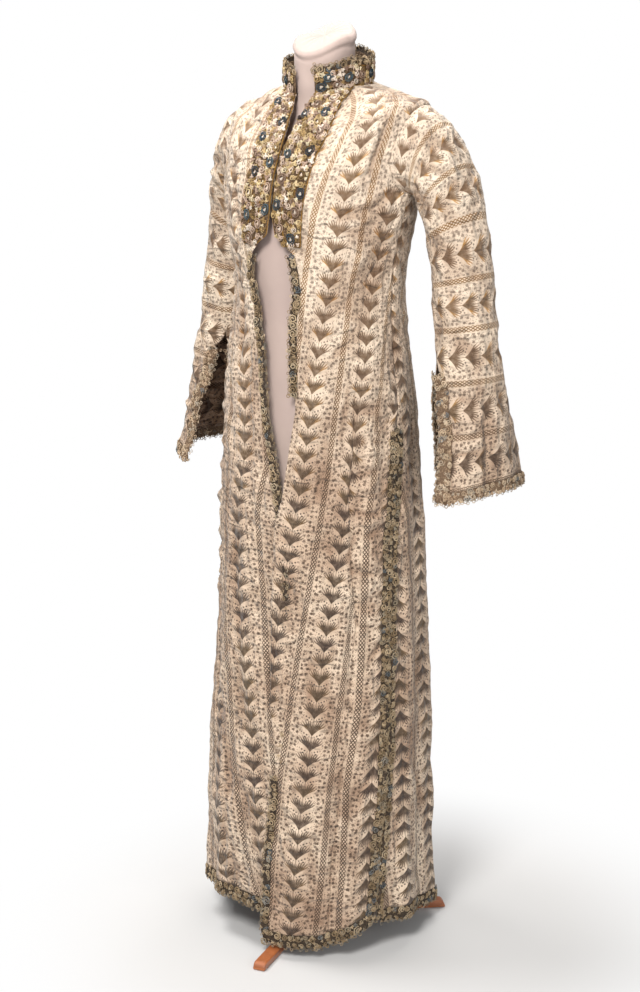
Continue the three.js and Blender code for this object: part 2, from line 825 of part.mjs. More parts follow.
function hub() {
  const height = HUB_TOP - HUB_BOTTOM;
  const geometry = new THREE.CylinderGeometry(HUB_RADIUS, HUB_RADIUS, height, 12);
  const made = mesh("hub", geometry, material(WOOD_COLOUR, 0.5));
  made.rotation.x = Math.PI / 2;
  made.position.set(POLE_PLACE.x, POLE_PLACE.y, (HUB_TOP + HUB_BOTTOM) / 2);
  return made;
}

// A low wooden leg, drawn in the upright plane that it stands in: it lies flat where it
// passes under the hem and bows up to the hub inside the skirt.
function legShape() {
  const root = HUB_RADIUS + SEAM_GAP;
  const shape = new THREE.Shape();
  shape.moveTo(root, HUB_BOTTOM + 8);
  shape.lineTo(root, HUB_BOTTOM + 52);
  shape.bezierCurveTo(70, HUB_BOTTOM + 44, 92, LEG_THICKNESS + 4, LEG_LOW_FROM, LEG_THICKNESS);
  shape.lineTo(LEG_REACH - 10, LEG_THICKNESS);
  shape.quadraticCurveTo(LEG_REACH, LEG_THICKNESS, LEG_REACH, 0);
  shape.lineTo(LEG_FLAT_FROM, 0);
  shape.bezierCurveTo(84, 2, 60, HUB_BOTTOM - 8, root, HUB_BOTTOM + 8);
  return shape;
}

function leg(index) {
  const geometry = new THREE.ExtrudeGeometry(legShape(), {
    depth: LEG_WIDTH,
    bevelEnabled: false,
    curveSegments: 7,
  });
  geometry.translate(0, 0, -LEG_WIDTH / 2);
  geometry.rotateX(Math.PI / 2);
  const made = mesh(`leg_${index + 1}`, geometry, material(WOOD_COLOUR, 0.5));
  made.rotation.z = (LEG_FIRST_TURN - 90 + 120 * index) * DEGREE;
  made.position.set(POLE_PLACE.x, POLE_PLACE.y, 0);
  return made;
}

// ---------------------------------------------------------------- the whole

function robe() {
  const cloth = (name, grid, closedRows) => {
    return mesh(name, wallGeometry(grid, CLOTH_WALL, closedRows), material(CLOTH_COLOUR, 0.85));
  };
  const gold = (name, grid, wall) => {
    return mesh(name, wallGeometry(grid, wall, 0, coilHeight), material(GOLD_COLOUR, 0.55, 0.4));
  };
  const left = frontGrid("left");
  const right = frontGrid("right");
  const goreLeft = goreGrid("left");
  const goreRight = goreGrid("right");
  const back = backGrid();
  const sleeveLeft = sleeveGrid("left");
  const sleeveRight = sleeveGrid("right");
  const collar = collarGrid();
  const group = new THREE.Group();
  group.add(
    cloth("front_left", left),
    cloth("front_right", right),
    cloth("gore_left", goreLeft),
    cloth("gore_right", goreRight),
    cloth("back", back),
    cloth("sleeve_left", sleeveLeft, SLEEVE_CLOSED_ROWS),
    cloth("sleeve_right", sleeveRight, SLEEVE_CLOSED_ROWS),
    gold("collar", collar, CLOTH_WALL),
    gold("bib_left", bibGrid("left"), BIB_WALL),
    gold("bib_right", bibGrid("right"), BIB_WALL),
    button(),
    laceMesh("lace_neck", laceAlong(gridEdge(collar, "top"), NECK_LACE_WIDTH)),
    ...frontLaces(left, right),
    ...sideLaces(goreLeft, goreRight, back),
    sleeveLace("left", sleeveLeft),
    sleeveLace("right", sleeveRight),
  );
  return group;
}

function stand() {
  const group = new THREE.Group();
  group.add(mesh("dress_form", formGeometry(), material(CALICO_COLOUR, 0.9)));
  group.add(pole(), hub(), leg(0), leg(1), leg(2));
  return group;
}

// The origin is at the middle of the object's outline, on the floor.
function assembled() {
  const root = new THREE.Group();
  root.add(robe(), stand());
  root.updateMatrixWorld(true);
  const box = new THREE.Box3().setFromObject(root, true);
  root.position.set(-(box.min.x + box.max.x) / 2, -(box.min.y + box.max.y) / 2, -box.min.z);
  return root;
}

export default assembled();
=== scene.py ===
import json
import math
import random
from functools import partial

import bmesh
import bpy
import numpy as np
from mathutils import Matrix, Vector, noise

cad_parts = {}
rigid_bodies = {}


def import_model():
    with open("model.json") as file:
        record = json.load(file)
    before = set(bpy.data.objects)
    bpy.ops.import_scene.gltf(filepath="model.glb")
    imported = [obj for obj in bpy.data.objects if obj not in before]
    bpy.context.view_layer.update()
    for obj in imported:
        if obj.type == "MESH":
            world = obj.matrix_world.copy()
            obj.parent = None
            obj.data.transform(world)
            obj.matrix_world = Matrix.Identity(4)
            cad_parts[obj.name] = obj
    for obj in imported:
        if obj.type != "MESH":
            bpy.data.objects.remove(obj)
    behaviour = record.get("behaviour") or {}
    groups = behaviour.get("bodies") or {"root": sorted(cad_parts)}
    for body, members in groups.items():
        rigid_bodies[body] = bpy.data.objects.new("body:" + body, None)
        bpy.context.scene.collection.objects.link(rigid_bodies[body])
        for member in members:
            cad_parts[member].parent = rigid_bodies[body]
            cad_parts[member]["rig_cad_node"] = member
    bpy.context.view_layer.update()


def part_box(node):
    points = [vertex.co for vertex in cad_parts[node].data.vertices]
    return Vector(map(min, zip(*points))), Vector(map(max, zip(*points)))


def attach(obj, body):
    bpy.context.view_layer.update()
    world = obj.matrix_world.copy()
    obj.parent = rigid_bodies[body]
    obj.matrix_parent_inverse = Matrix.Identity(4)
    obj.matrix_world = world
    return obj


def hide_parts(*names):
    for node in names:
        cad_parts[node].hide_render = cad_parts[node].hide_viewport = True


bl_info = {
    "name": "Entari robe",
    "version": (1, 0, 0),
    "blender": (4, 5, 0),
    "location": "View3D > Sidebar > Robe",
    "description": "A printed robe with coiled metal-thread trim on a dress form and tripod",
    "category": "Add Mesh",
}

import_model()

MM = 0.001
DEGREE = math.pi / 180
MERGE_GAP = 0.00002

# ------------------------------------------------------------------ driving sizes, mm

POLE_PLACE = (0, -36)
SQUARENESS = 0.064
LAP_OUT = 3.5
LAP_IN = 2
LAP_HEM_IN = 10
SHOULDER_DROP = 9
SLIT_TOP_LEVEL = 6.75
SLIT_FULL_LEVEL = 6.6
EDGE_LACE_WIDTH = 11
HEM_LACE_WIDTH = 25
CUFF_LACE_WIDTH = 20
SLEEVE_LAP = 0.033
NECK_LACE_WIDTH = 12
COLLAR_HEIGHT = 33
COLLAR_FLARE = 0.0011
BUTTON_LEVEL = 14.4
UNDERARM_LEVEL = 11.35
ARMHOLE_TOP_LEVEL = 13
ARMHOLE_FRONT_REACH = 23
ARMHOLE_BACK_REACH = 26
ARMHOLE_TUCK = 3.5
SLEEVE_CLOSED_ROWS = 7
TOP_LEVEL = 16
BIB_BOTTOM_LEVEL = 10.15
BIB_TOP_LEVEL = 15.8

HUB_RADIUS = 30
HUB_BOTTOM = 60
LEG_REACH = 240
LEG_WIDTH = 22
LEG_THICKNESS = 13
LEG_FIRST_TURN = 14.5
LEG_ROUNDING = 0.0026

BODY_SEED = 2
SLEEVE_SEEDS = {"left": 11, "right": 23}

STRIPE_REPEAT = 88
SPRAY_PITCH = 28.5
LATTICE_HALF = 4.8
LATTICE_STEP = 14

# Spray of leaves, from the stem at the foot of a repeat: mm, and degrees off the stem.
SPRAY_FOOT = 1.5
FINGER_TURN = 8.4
FINGER_CUT = 0.38
WING_TURN = 33
WING_REACH = 33.5
WING_FALL = 0.0115
# Bare lobe under a spray's wing, in mm along its own turned axes.
LOBE_TURN = 24
LOBE_MIDDLE = (8.6, -2.7)
LOBE_HALF = (9.2, 3.3)
# Rows of dots in the lobe: place off its middle line, pitch, first and last place.
DOT_ROWS = ((3.4, 5.4, 3.0, 19.0), (8.0, 6.2, 4.0, 13.0))
DOT_RADIUS = 1.75
SPRIG_PITCH = (8.6, 8.2)
SPRIG_BAND = (18.5, 36.2)
# Drawn-out wrinkles: turn and scale of their noise.
WRINKLES = (((0, 0, 0), (34, 34, 11)), ((0.5, 0.3, 0), (20, 20, 46)))
# Tones of the painted shade in the cloth's hollows and on its reverse, and how much of it the
# reverse takes.
HOLLOW_SHADE_TONE = (0.5, 0.4, 0.33, 1)
REVERSE_SHADE_TONE = (0.5, 0.38, 0.3, 1)
REVERSE_SHADE_SHARE = 0.8

# Millimetres of cloth to a degree of the body and the sleeve, and to a row of the sleeve.
TURN_LENGTH = 2.9
SLEEVE_TURN_LENGTH = 0.9
SLEEVE_ROW_LENGTH = 56
CREASE_DEPTH = 2.2
SLEEVE_CREASE_DEPTH = 1.4
SEAM_PRESS = 1.6
SEAM_REACH = 3.2
# Light crumple of the cloth, mm: size, height, seed and how far it is drawn out upwards.
BROAD_CRUMPLE = (42, 3.6, BODY_SEED, 1.8)
LONG_CRUMPLE = (26, 3.8, BODY_SEED + 9, 5.0)
FINE_CRUMPLE = (14, 1.7, BODY_SEED + 3, 1.2)

# A panel's widest place over its mean width.
LACE_LAP = 4
RIGHT_LACE_LAP = 5
GORE_LACE_EXTRA = 2.5
SLEEVE_LACE_EXTRA = 13
SLEEVE_LACE_STAND = 1.4
# Rows of rosettes as shares of a lace's width, and their size, on broad and narrow lace.
BROAD_ROWS = (0.22, 0.72)
NARROW_ROWS = (0.34,)
BROAD_SIZE = 1.16
NARROW_SIZE = 1.3
ROSETTE_CHANCE = 0.55
# What a lace's reckoned length has over the run that it follows, and its least width in m.
LACE_SLACK = 1.03
LEAST_WIDTH = 0.0101
RIGHT_LACE_LEVELS = (0, 9.9)
UPPER_LACE_LEVELS = (7.3, 9.9)
LOWER_LACE_LEVELS = (2.1, 0)
# What each lace is laid on and the seed of its random draws.
LACES = {
    "lace_neck": ("collar_cloth", 3),
    "lace_front_left_upper": ("front_left_cloth", 5),
    "lace_front_left_lower": ("front_left_cloth", 7),
    "lace_front_right": ("front_right_cloth", 9),
    "lace_gore_left": ("gore_left_cloth", 11),
    "lace_gore_right": ("gore_right_cloth", 13),
    "lace_back": ("back_cloth", 15),
    "lace_sleeve_left": ("sleeve_left_cloth", 17),
    "lace_sleeve_right": ("sleeve_right_cloth", 19),
}
MEAN_TURN_LENGTH = 3.2
BROAD_LACE = 17
NET_WALL = 0.0008
PICOT_STEP = 5.2
BIB_SEEDS = {"left": 41, "right": 47}
COLLAR_SEED = 53
# Pitch of the lesser coils and of the knots between them.
BIB_PITCHES = (11.5, 7.2)
COLLAR_PITCHES = (11.0, 7.0)
PIPING_NAMES = {"bib_left": "piping_left", "bib_right": "piping_right", "collar": "collar_piping"}
COLLAR_WALL = 0.0018
BIB_STAND = 2.6
BIB_PIPING_STAND = 3.6
BUTTON_STAND = 8.2
BUTTON_TURNS = ((0, "X"), (90, "X"), (90, "Y"))

# Share of the cover's height below its cap, and gathers round the cap.
CAP_SHARE = 0.86
CAP_GATHERS = 19
# Place of the form's own upright axis in depth, in mm.
FORM_AXIS = -20
# Groove, roll and tucks round the form's neck: level, half height and depth.
NECK_BANDS = ((14.35, 0.16, 1.6), (14.75, 0.22, 0.8), (15.4, 0.5, 0.8))

# Coiled stamps, in mm: turns, first and last radius, points, rise of the middle and lean.
COILS = {
    "rosette": (1.8, 1.0, 5.6, 12, 1.8, 1.0),
    "scroll": (-1.5, 1.4, 5.0, 10, 1.2, 0.8),
    "oval": (1.9, 2.6, 8.0, 23, 1.6, 0.8),
}
KNOT_SIZE = 3.0
PICOT_RADIUS = 2.3
# Radius of each stamp's cord, and how far its middle lies off the ground, in metres.
CORD_RADII = {
    "rosette": 0.00078,
    "scroll": 0.00085,
    "oval": 0.00078,
    "knot": 0.0008,
    "picot": 0.0006,
}
LACE_COIL_LIFT = 0.0011
MAIN_COIL_LIFT = 0.003
MAIN_KNOT_LIFT = 0.0022
LESSER_COIL_LIFT = 0.002
LESSER_KNOT_LIFT = 0.0018
# Cloth that each main and lesser coil keeps to itself, in mm about its middle.
MAIN_COIL_ROOM = 8.8
LESSER_COIL_ROOM = 3.6
LESSER_SIZES = {"scroll": 1.2, "knot": 1.7, "rosette": 1.1}
ANY_SPIN = (0, 6.3)
GOLD, ROSE = 1, 2
BUTTON_BALL_RADIUS = 0.0031
BUTTON_KNOT_SIZE = 3.1
BUTTON_CORD_RADIUS = 0.00095
BUTTON_LOOP_RADIUS = 4.6
LOOP_CORD_RADIUS = 0.0007

# Steps across and along each piece's mesh.
FRONT_GRID = (56, 300)
GORE_GRID = (28, 250)
BACK_GRID = (112, 270)
SLEEVE_GRID = (96, 132)
BIB_GRID = (18, 70)
COLLAR_GRID = (130, 12)
FORM_GRID = (120, 190)

# Hoops: half width, depth in front and behind, place of the widest line, and height in
# front, at the side and behind.
ROBE_HOOPS = (
    (194, 200, 184, -8, 44, 44, 44),
    (194, 188, 182, -14, 150, 150, 150),
    (192, 176, 175, -15, 300, 300, 300),
    (187, 166, 166, -14, 450, 450, 450),
    (181, 157, 157, -14, 600, 600, 600),
    (176, 149, 149, -16, 760, 760, 760),
    (172, 143, 146, -19, 850, 850, 850),
    (166, 138, 140, -19, 940, 940, 940),
    (155, 132, 130, -18, 1040, 1040, 1040),
    (145, 127, 120, -16, 1130, 1130, 1130),
    (155, 131, 122, -14, 1200, 1200, 1200),
    (168, 134, 124, -12, 1262, 1265, 1268),
    (176, 140, 112, 4, 1315, 1350, 1330),
    (179, 142, 88, 26, 1362, 1430, 1390),
    (148, 124, 78, 25, 1394, 1444, 1420),
    (110, 96, 68, 18, 1422, 1455, 1448),
    (69, 67, 56, 10, 1445, 1461, 1477),
)
FORM_HOOPS = (
    (112, 92, 96, -25, 640, 640, 640),
    (142, 112, 118, -24, 668, 668, 668),
    (152, 120, 128, -22, 760, 760, 760),
    (150, 118, 126, -22, 880, 880, 880),
    (138, 114, 116, -20, 1000, 1000, 1000),
    (127, 109, 104, -18, 1110, 1110, 1110),
    (138, 115, 107, -16, 1185, 1185, 1185),
    (153, 119, 110, -12, 1245, 1250, 1250),
    (158, 126, 98, 4, 1296, 1330, 1315),
    (158, 124, 76, 25, 1342, 1398, 1370),
    (130, 106, 66, 22, 1374, 1420, 1400),
    (92, 78, 54, 12, 1402, 1434, 1428),
    (57, 55, 50, 2, 1430, 1452, 1458),
    (49, 49, 48, -3, 1462, 1482, 1494),
    (49, 49, 48, -3, 1492, 1514, 1534),
    (50, 50, 49, -3, 1510, 1534, 1556),
    (44, 44, 43, -3, 1517, 1541, 1562),
)

# The two front edges from hem to neckline: level, and turns on the right and left.
FRONT_EDGES = (
    (0, 7.5, 8.5),
    (1, 9.5, 8.5),
    (2, 11.5, 10.5),
    (2.5, 11.5, 10),
    (3, 11.5, 5),
    (4, 11.5, 5),
    (4.8, 9, 6.5),
    (5.5, 6, 11),
    (6.3, 1.7, 14),
    (7.1, -3.5, 17),
    (8, -8, 16.5),
    (8.5, -11.7, 16),
    (9.1, -16.5, 19),
    (9.5, -19.5, 17),
    (9.9, -16, 14.5),
    (10.15, -11, 9),
    (10.45, -2.5, 3),
    (11, -0.6, 1.4),
    (13, -0.6, 1.6),
    (14, -1.2, 4.5),
    (15, -4, 8),
    (16, -14.7, 15.4),
)
# The gore's seam and the side seam, by level.
SIDE_SEAMS = (
    (0, 40, 65),
    (1, 41, 67),
    (2, 45, 71),
    (3, 49, 73),
    (4, 53, 74.5),
    (4.7, 50, 76.5),
    (5.4, 49, 81),
    (6.3, 52, 84),
    (7.2, 54, 88),
    (8.2, 60, 90),
    (9, 66, 90),
    (10, 74, 90),
    (11.35, 84, 90),
)
BIB_EDGES = (
    (10.15, -22, 19),
    (10.7, -22.5, 19),
    (11.3, -20, 19),
    (12, -18, 20),
    (12.6, -17, 21),
    (13.3, -18, 25),
    (14.2, -22, 31),
    (14.9, -27, 39),
    (15.4, -36, 52),
    (15.8, -50, 66),
)
# Main folds: turn at the hem end and the top end, the levels between which the fold runs,
# half width in degrees and height.
FOLDS = (
    (41, 63, 0, 9, 4, -6),
    (50, 72, 0, 8.6, 5, 5),
    (24, 34, 0, 7, 7, 3),
    (-40, -60, 0, 8.6, 5, -6),
    (-24, -34, 0, 8, 7, 4),
    (-54, -76, 0, 8.2, 6, 5),
    (84, 98, 0, 9.2, 6, 6),
    (99, 110, 0, 9.4, 5, -6),
    (116, 123, 0, 9, 7, 6),
    (134, 137, 0, 8.4, 6, -5),
    (152, 152, 0, 7.8, 8, 5),
    (172, 170, 0, 8.6, 6, -5),
    (190, 189, 0, 8, 8, 5),
    (209, 207, 0, 8.8, 6, -6),
    (228, 226, 0, 8.2, 7, 5),
    (247, 243, 0, 9.2, 6, -6),
    (266, 260, 0, 9, 6, 5),
    (40, 58, 10, 12.4, 9, -3),
)
HEM_LIFTS = (
    (-180, 6),
    (-120, 14),
    (-66, 42),
    (-20, 50),
    (7, 50),
    (8, 0),
    (34, 0),
    (66, 34),
    (120, 14),
    (180, 6),
)
# Left sleeve from armhole to cuff: underside and top in X and Z, middle line and half depth,
# turn of the seam and half of the slit's spread.
SLEEVE = (
    (177, 1284, 203, 1416, 22, 62, -88, 0),
    (181, 1272, 229, 1387, 28, 62, -84, 0),
    (185, 1256, 254, 1338, 34, 60, -78, 0),
    (189, 1228, 272, 1284, 38, 57, -70, 0),
    (195, 1170, 288, 1198, 42, 54, -60, 0),
    (201, 1110, 297, 1128, 42, 53, -48, 0),
    (207, 1052, 306, 1066, 41, 54, -38, 0),
    (210, 1000, 316, 1014, 40, 60, -34, 16),
    (212, 950, 322, 966, 41, 68, -34, 26),
    (215, 900, 328, 920, 43, 78, -34, 34),
    (218, 852, 332, 876, 45, 90, -35, 36),
    (221, 806, 335, 836, 46, 100, -36, 37),
)
RIGHT_SLEEVE_IN = 9
RIGHT_SLEEVE_BACK = 5
RIGHT_SLEEVE_DROP = 8
SLEEVE_STAND_OFF = 2.5

# Turns of the printed stripes by level on the left front: a lattice, a leaf column and so on.
LEFT_STRIPES = (
    (0, -19, -5.5, 9, 21, 33.2),
    (1, -17, -3.5, 10.5, 22.3, 36),
    (2, -15, -1.5, 12.5, 25.5, 38.7),
    (3, -9, 5, 17, 30.5, 43.5),
    (4, -4, 9.5, 23.5, 36.8, 49.5),
    (5, 4, 17.5, 32, 46, 59.5),
    (6, 9, 22.5, 37, 50, 63),
    (7, 14, 25.8, 41, 56, 70),
    (8, 18.5, 30.5, 47.5, 63, 78),
    (9, 21.5, 37.8, 54, 71.5, 88),
    (10, 24, 40.5, 56.7, 74.5, 92),
    (11, 26, 42, 57.5, 75, 93),
    (12, 29.5, 44.2, 60, 77, 94),
    (13, 34, 47.5, 63, 79, 95),
    (14, 43, 60, 76, 92, 108),
    (15, 51, 70, 92, 114, 136),
    (16, 60, 96, 132, 168, 204),
)
RIGHT_STRIPES = (
    (0, 18, 9, 2, -20, -34),
    (1, 14, 3, -5, -30, -42),
    (2, 10, -3, -15, -34, -48),
    (3, 4, -8.5, -23, -38, -52),
    (4, -0.5, -18, -32, -46, -60),
    (5, -5.8, -21.5, -35, -49, -62),
    (6, -0.2, -16, -31, -46, -60),
    (7, -3.2, -17.5, -33, -49, -64),
    (8, -9.5, -23, -40, -57, -74),
    (9, -16, -30, -48, -66, -84),
    (10, -22, -34, -51, -68, -85),
    (11, -22.5, -35, -51, -68, -85),
    (12, -19, -32, -48.5, -66, -83),
    (13, -22, -29, -44, -62, -80),
    (14, -24, -34, -52, -70, -88),
    (15, -31, -48, -70, -92, -114),
    (16, -50, -80, -116, -152, -188),
)
# How far the back's stripes are spread, by level.
BACK_PRINT_SPREAD = ((0, 1, 2.5, 4.5, 6, 16), (0.975, 0.97, 1.0, 1.07, 1.0, 1.0))
# Turn of the gore's lattice by level.
GORE_LATTICE = ((0, 45.3), (1, 47), (2, 48), (3, 54), (4, 57), (5, 60), (6, 66), (7, 72))
# Row of the sleeve at which each lattice ring lies.
SLEEVE_RINGS = (
    (-1, -1.85),
    (0.6, -1),
    (2, 0),
    (3.3, 1),
    (4.45, 2),
    (5.65, 3),
    (7.25, 4),
    (9.05, 5),
    (10.9, 6),
    (12, 6.6),
)

# Main coils of the bibs: level, turn and thread, where 0 is blue-green, 1 gold and 2 rose.
BIB_COILS = {
    "left": (
        (14.65, 9, 0),
        (14.53, 26, 0),
        (14.08, 20.5, 1),
        (13.55, 22, 2),
        (13.4, 8, 2),
        (12.8, 17.2, 0),
        (12.78, 5, 0),
        (12.0, 5, 2),
        (12.1, 16, 1),
        (11.55, 17.5, 0),
        (11.05, 15.5, 2),
        (11.23, 4, 0),
        (10.6, 6.5, 2),
        (10.35, 13.5, 0),
        (15.1, 20, 2),
        (15.25, 36, 2),
    ),
    "right": (
        (15.18, -24.2, 0),
        (14.9, -11, 2),
        (14.25, -5.8, 0),
        (13.9, -18, 2),
        (13.38, -14.2, 0),
        (13.0, -3, 1),
        (12.48, -4.2, 0),
        (12.15, -12.5, 0),
        (11.7, -3, 2),
        (11.5, -15, 1),
        (11.08, -2, 0),
        (10.9, -16.2, 0),
        (10.7, -8, 2),
        (10.3, -16, 2),
    ),
}
# Main coils of the collar: share of its height, turn and thread.
COLLAR_COILS = (
    (0.32, 24, 0),
    (0.75, 33, 0),
    (0.3, 44, 2),
    (0.5, 60, 0),
    (0.55, 80, 2),
    (0.6, 98, 0),
    (0.35, 116, 2),
    (0.55, 134, 0),
    (0.5, 154, 2),
    (0.55, 172, 0),
    (0.45, 190, 2),
    (0.55, 208, 0),
    (0.5, 228, 2),
    (0.6, 248, 0),
    (0.4, 266, 2),
    (0.55, 286, 0),
    (0.45, 306, 2),
    (0.55, 326, 0),
    (0.3, 338, 2),
)

# Small creases: turn and height of both ends, half width and depth.
CREASES = (
    (70, 1258, 52, 1240, 26, -3.6),
    (72, 1205, 60, 1110, 28, -3.2),
    (48, 1180, 42, 1120, 18, -2.2),
    (58, 1135, 50, 1120, 7, -3.0),
    (52, 1060, 40, 1035, 6, -2.6),
    (40, 1040, 30, 1052, 7, 2.0),
    (63, 1085, 52, 1072, 6, -2.2),
    (70, 1160, 60, 1140, 7, -2.4),
    (66, 1275, 42, 1262, 8, -3.0),
    (62, 1252, 44, 1246, 7, 2.4),
    (76, 1300, 62, 1268, 7, -2.6),
    (60, 1425, 56, 1330, 4, -3.2),
    (55, 1415, 51, 1330, 6, 2.2),
    (50, 980, 44, 900, 6, -2.0),
    (60, 930, 66, 860, 7, 2.2),
    (36, 860, 30, 800, 8, -1.8),
    (56, 760, 48, 700, 7, -2.2),
    (60, 650, 52, 640, 6, 2.6),
    (72, 560, 58, 520, 8, -2.8),
    (70, 420, 56, 390, 7, 2.6),
    (62, 330, 48, 260, 8, -2.4),
    (30, 300, 20, 180, 9, 2.0),
    (26, 120, 34, 70, 7, -2.2),
    (50, 130, 44, 70, 7, 2.4),
    (-58, 1135, -48, 1118, 7, -3.0),
    (-52, 1060, -42, 1038, 6, -2.4),
    (-66, 1270, -44, 1252, 8, -3.0),
    (-34, 1330, -26, 1240, 7, -2.6),
    (-30, 1130, -26, 1010, 6, -2.2),
    (-40, 960, -30, 860, 8, 2.0),
    (-22, 640, -14, 500, 8, -2.2),
    (-16, 560, -8, 420, 7, 2.4),
    (-30, 420, -22, 300, 8, -2.0),
    (-44, 300, -36, 160, 8, 2.2),
    (100, 1180, 112, 1140, 8, -2.4),
    (104, 1100, 118, 1080, 7, 2.2),
    (150, 1150, 178, 1128, 8, -2.4),
    (205, 1146, 228, 1130, 8, -2.6),
    (246, 1180, 262, 1150, 8, -2.2),
    (130, 1290, 150, 1250, 9, -2.0),
    (215, 1290, 232, 1240, 9, -2.2),
    (96, 640, 112, 560, 8, 2.2),
    (92, 340, 104, 250, 8, -2.4),
    (140, 480, 146, 300, 9, 2.0),
    (200, 520, 196, 320, 9, -2.0),
    (236, 420, 244, 240, 9, 2.0),
)

# Creases of the left sleeve: row and turn of both ends, half width and depth.
SLEEVE_CREASES = (
    (1.0, 10, 2.6, 60, 8, -4.0),
    (1.6, -10, 2.2, 50, 7, 3.0),
    (0.8, -20, 2.0, -30, 9, -3.5),
    (3.4, -30, 4.2, 40, 8, -2.6),
    (4.6, -20, 5.4, 30, 8, 2.4),
    (5.6, 0, 6.6, 60, 9, -3.0),
    (8.0, 62, 11.8, 66, 7, -7.0),
    (9.3, 10, 9.4, 50, 5, 3.4),
    (9.6, 6, 9.7, 50, 5, -3.0),
    (7.6, 20, 8.6, 46, 8, -2.4),
    (2.4, 150, 4.4, 170, 9, -3.0),
    (6.0, 120, 8.4, 140, 10, -3.0),
    (8.6, 200, 11.6, 205, 9, -5.0),
)

# The floor's tone, and where and how far off it fades to white, in metres.
FLOOR_TONE = (0.55, 0.55, 0.55, 1)
WHITE = (1, 1, 1, 1)
FADE_PLACE = (0.12, 0.02)
FADE_REACH = (0.34, 0.72)
# Area lamps, m: place, aim, width, power in watts and colour.
LAMPS = {
    "key": ((0.9, -2.8, 3.3), (0, 0, 1.0), 1.3, 162, (1, 0.975, 0.945)),
    "side": ((-1.3, -0.3, 4.0), (0, 0, 0.6), 1.3, 100, (1, 0.98, 0.96)),
    "top": ((-0.3, 1.1, 3.4), (0, 0, 0.6), 1.6, 42, (1, 0.98, 0.96)),
    "fill": ((3.2, -1.4, 1.4), (0, 0, 0.7), 2.4, 46, (1, 0.98, 0.96)),
}
CAMERA_AZIMUTH = 37
CAMERA_PLACE = (1925.8, -2555.6, 1550)
CAMERA_PITCH = 13.758
CAMERA_YAW = 0.18
CAMERA_LENS = 69.31

# Tones of each thread by the tint of its coils: place, then red, green and blue.
THREADS = {
    "gilt_lace": ((0.0, 84, 68, 50), (0.3, 152, 130, 100), (0.5, 200, 178, 146),
                  (0.7, 132, 128, 116), (0.84, 84, 96, 104), (1.0, 232, 216, 190)),
    "pale_lace": ((0.0, 112, 90, 68), (0.3, 184, 158, 130), (0.5, 214, 192, 164),
                  (0.7, 150, 146, 138), (0.84, 98, 108, 114), (1.0, 240, 226, 204)),
    "teal_coil": ((0.0, 22, 40, 52), (0.45, 44, 72, 86), (0.75, 92, 118, 126),
                  (1.0, 160, 170, 168)),
    "gold_coil": ((0.0, 88, 66, 40), (0.3, 158, 128, 80), (0.65, 204, 178, 130),
                  (1.0, 240, 228, 198)),
    "silver_rose_coil": ((0.0, 104, 80, 66), (0.35, 176, 148, 128), (0.7, 222, 200, 180),
                         (1.0, 248, 238, 224)),
    "gold_piping": ((0.0, 150, 112, 48), (0.5, 178, 138, 66), (1.0, 206, 170, 92)),
    "dark_cord": ((0.0, 44, 32, 26), (0.6, 70, 52, 40), (1.0, 96, 76, 56)),
}
# How metallic and how rough each thread is.
THREAD_GLOSS = {
    "gilt_lace": (0.3, 0.42),
    "pale_lace": (0.15, 0.42),
    "teal_coil": (0.3, 0.42),
    "gold_coil": (0.2, 0.42),
    "silver_rose_coil": (0.1, 0.42),
    "gold_piping": (0.35, 0.42),
    "dark_cord": (0.1, 0.6),
}
# Light and dark tone of each woven ground under lace or coils; the embroidery ground's dark tone is
# partly painted shade in the gaps between its coils.
GROUNDS = {
    "lace_net": ((100, 82, 62), (48, 38, 28)),
    "pale_net": ((172, 146, 118), (92, 72, 54)),
    "embroidery_ground": ((172, 146, 112), (78, 58, 40)),
}
COIL_THREADS = ("teal_coil", "gold_coil", "silver_rose_coil")

# ------------------------------------------------------------------ curves and surfaces


def columns(rows, *names):
    """A named column of a table for each name."""
    return {name: np.array([row[i] for row in rows], float) for i, name in enumerate(names)}


EDGE = columns(FRONT_EDGES, "level", "right", "left")
SEAM = columns(SIDE_SEAMS, "level", "gore", "side")
BIB = columns(BIB_EDGES, "level", "right", "left")
LIFT = columns(HEM_LIFTS, "turn", "lift")


def smooth_row(rows, at):
    """Rows of a table at fractional places, smooth through all of them."""
    table = np.array(rows, float)
    last = len(table) - 1
    at = np.clip(np.asarray(at, float), 0, last)
    i = np.minimum(at.astype(int), last - 1)
    u = (at - i)[..., None]
    a, b, c, d = (table[np.clip(i + k, 0, last)] for k in (-1, 0, 1, 2))
    return 0.5 * (
        2 * b + u * (c - a + u * (2 * a - 5 * b + 4 * c - d + u * (3 * b - 3 * c + d - a)))
    )


def value_at(known, values, at):
    """Value between known places, half eased, as the solid's own edges run."""
    at = np.clip(np.asarray(at, float), known[0], known[-1])
    i = np.clip(np.searchsorted(known, at, side="right") - 1, 0, len(known) - 2)
    u = (at - known[i]) / (known[i + 1] - known[i])
    blend = (u + u * u * (3 - 2 * u)) / 2
    return values[i] + (values[i + 1] - values[i]) * blend


def ease(start, end, at):
    """0 before start and 1 after end, smooth between."""
    u = np.clip((np.asarray(at, float) - start) / (end - start), 0, 1)
    return u * u * (3 - 2 * u)


def hoop_point(hoops, turn, level):
    """Points of a stack of hoops, in millimetres."""
    hoop = smooth_row(hoops, level)
    s, c = np.sin(turn * DEGREE), np.cos(turn * DEGREE)
    half, front, back, centre, z_front, z_side, z_back = np.moveaxis(hoop, -1, 0)
    depth = np.where(c > 0, front, back)
    z_end = np.where(c > 0, z_front, z_back)
    x = half * s * (1 + SQUARENESS * c * c)
    y = centre - depth * c * (1 + SQUARENESS * s * s)
    return np.stack([x, y, z_side + (z_end - z_side) * c * c], -1)


def wrapped(turn):
    """The same turn between -180 and 180 degrees."""
    return (np.asarray(turn, float) + 180) % 360 - 180


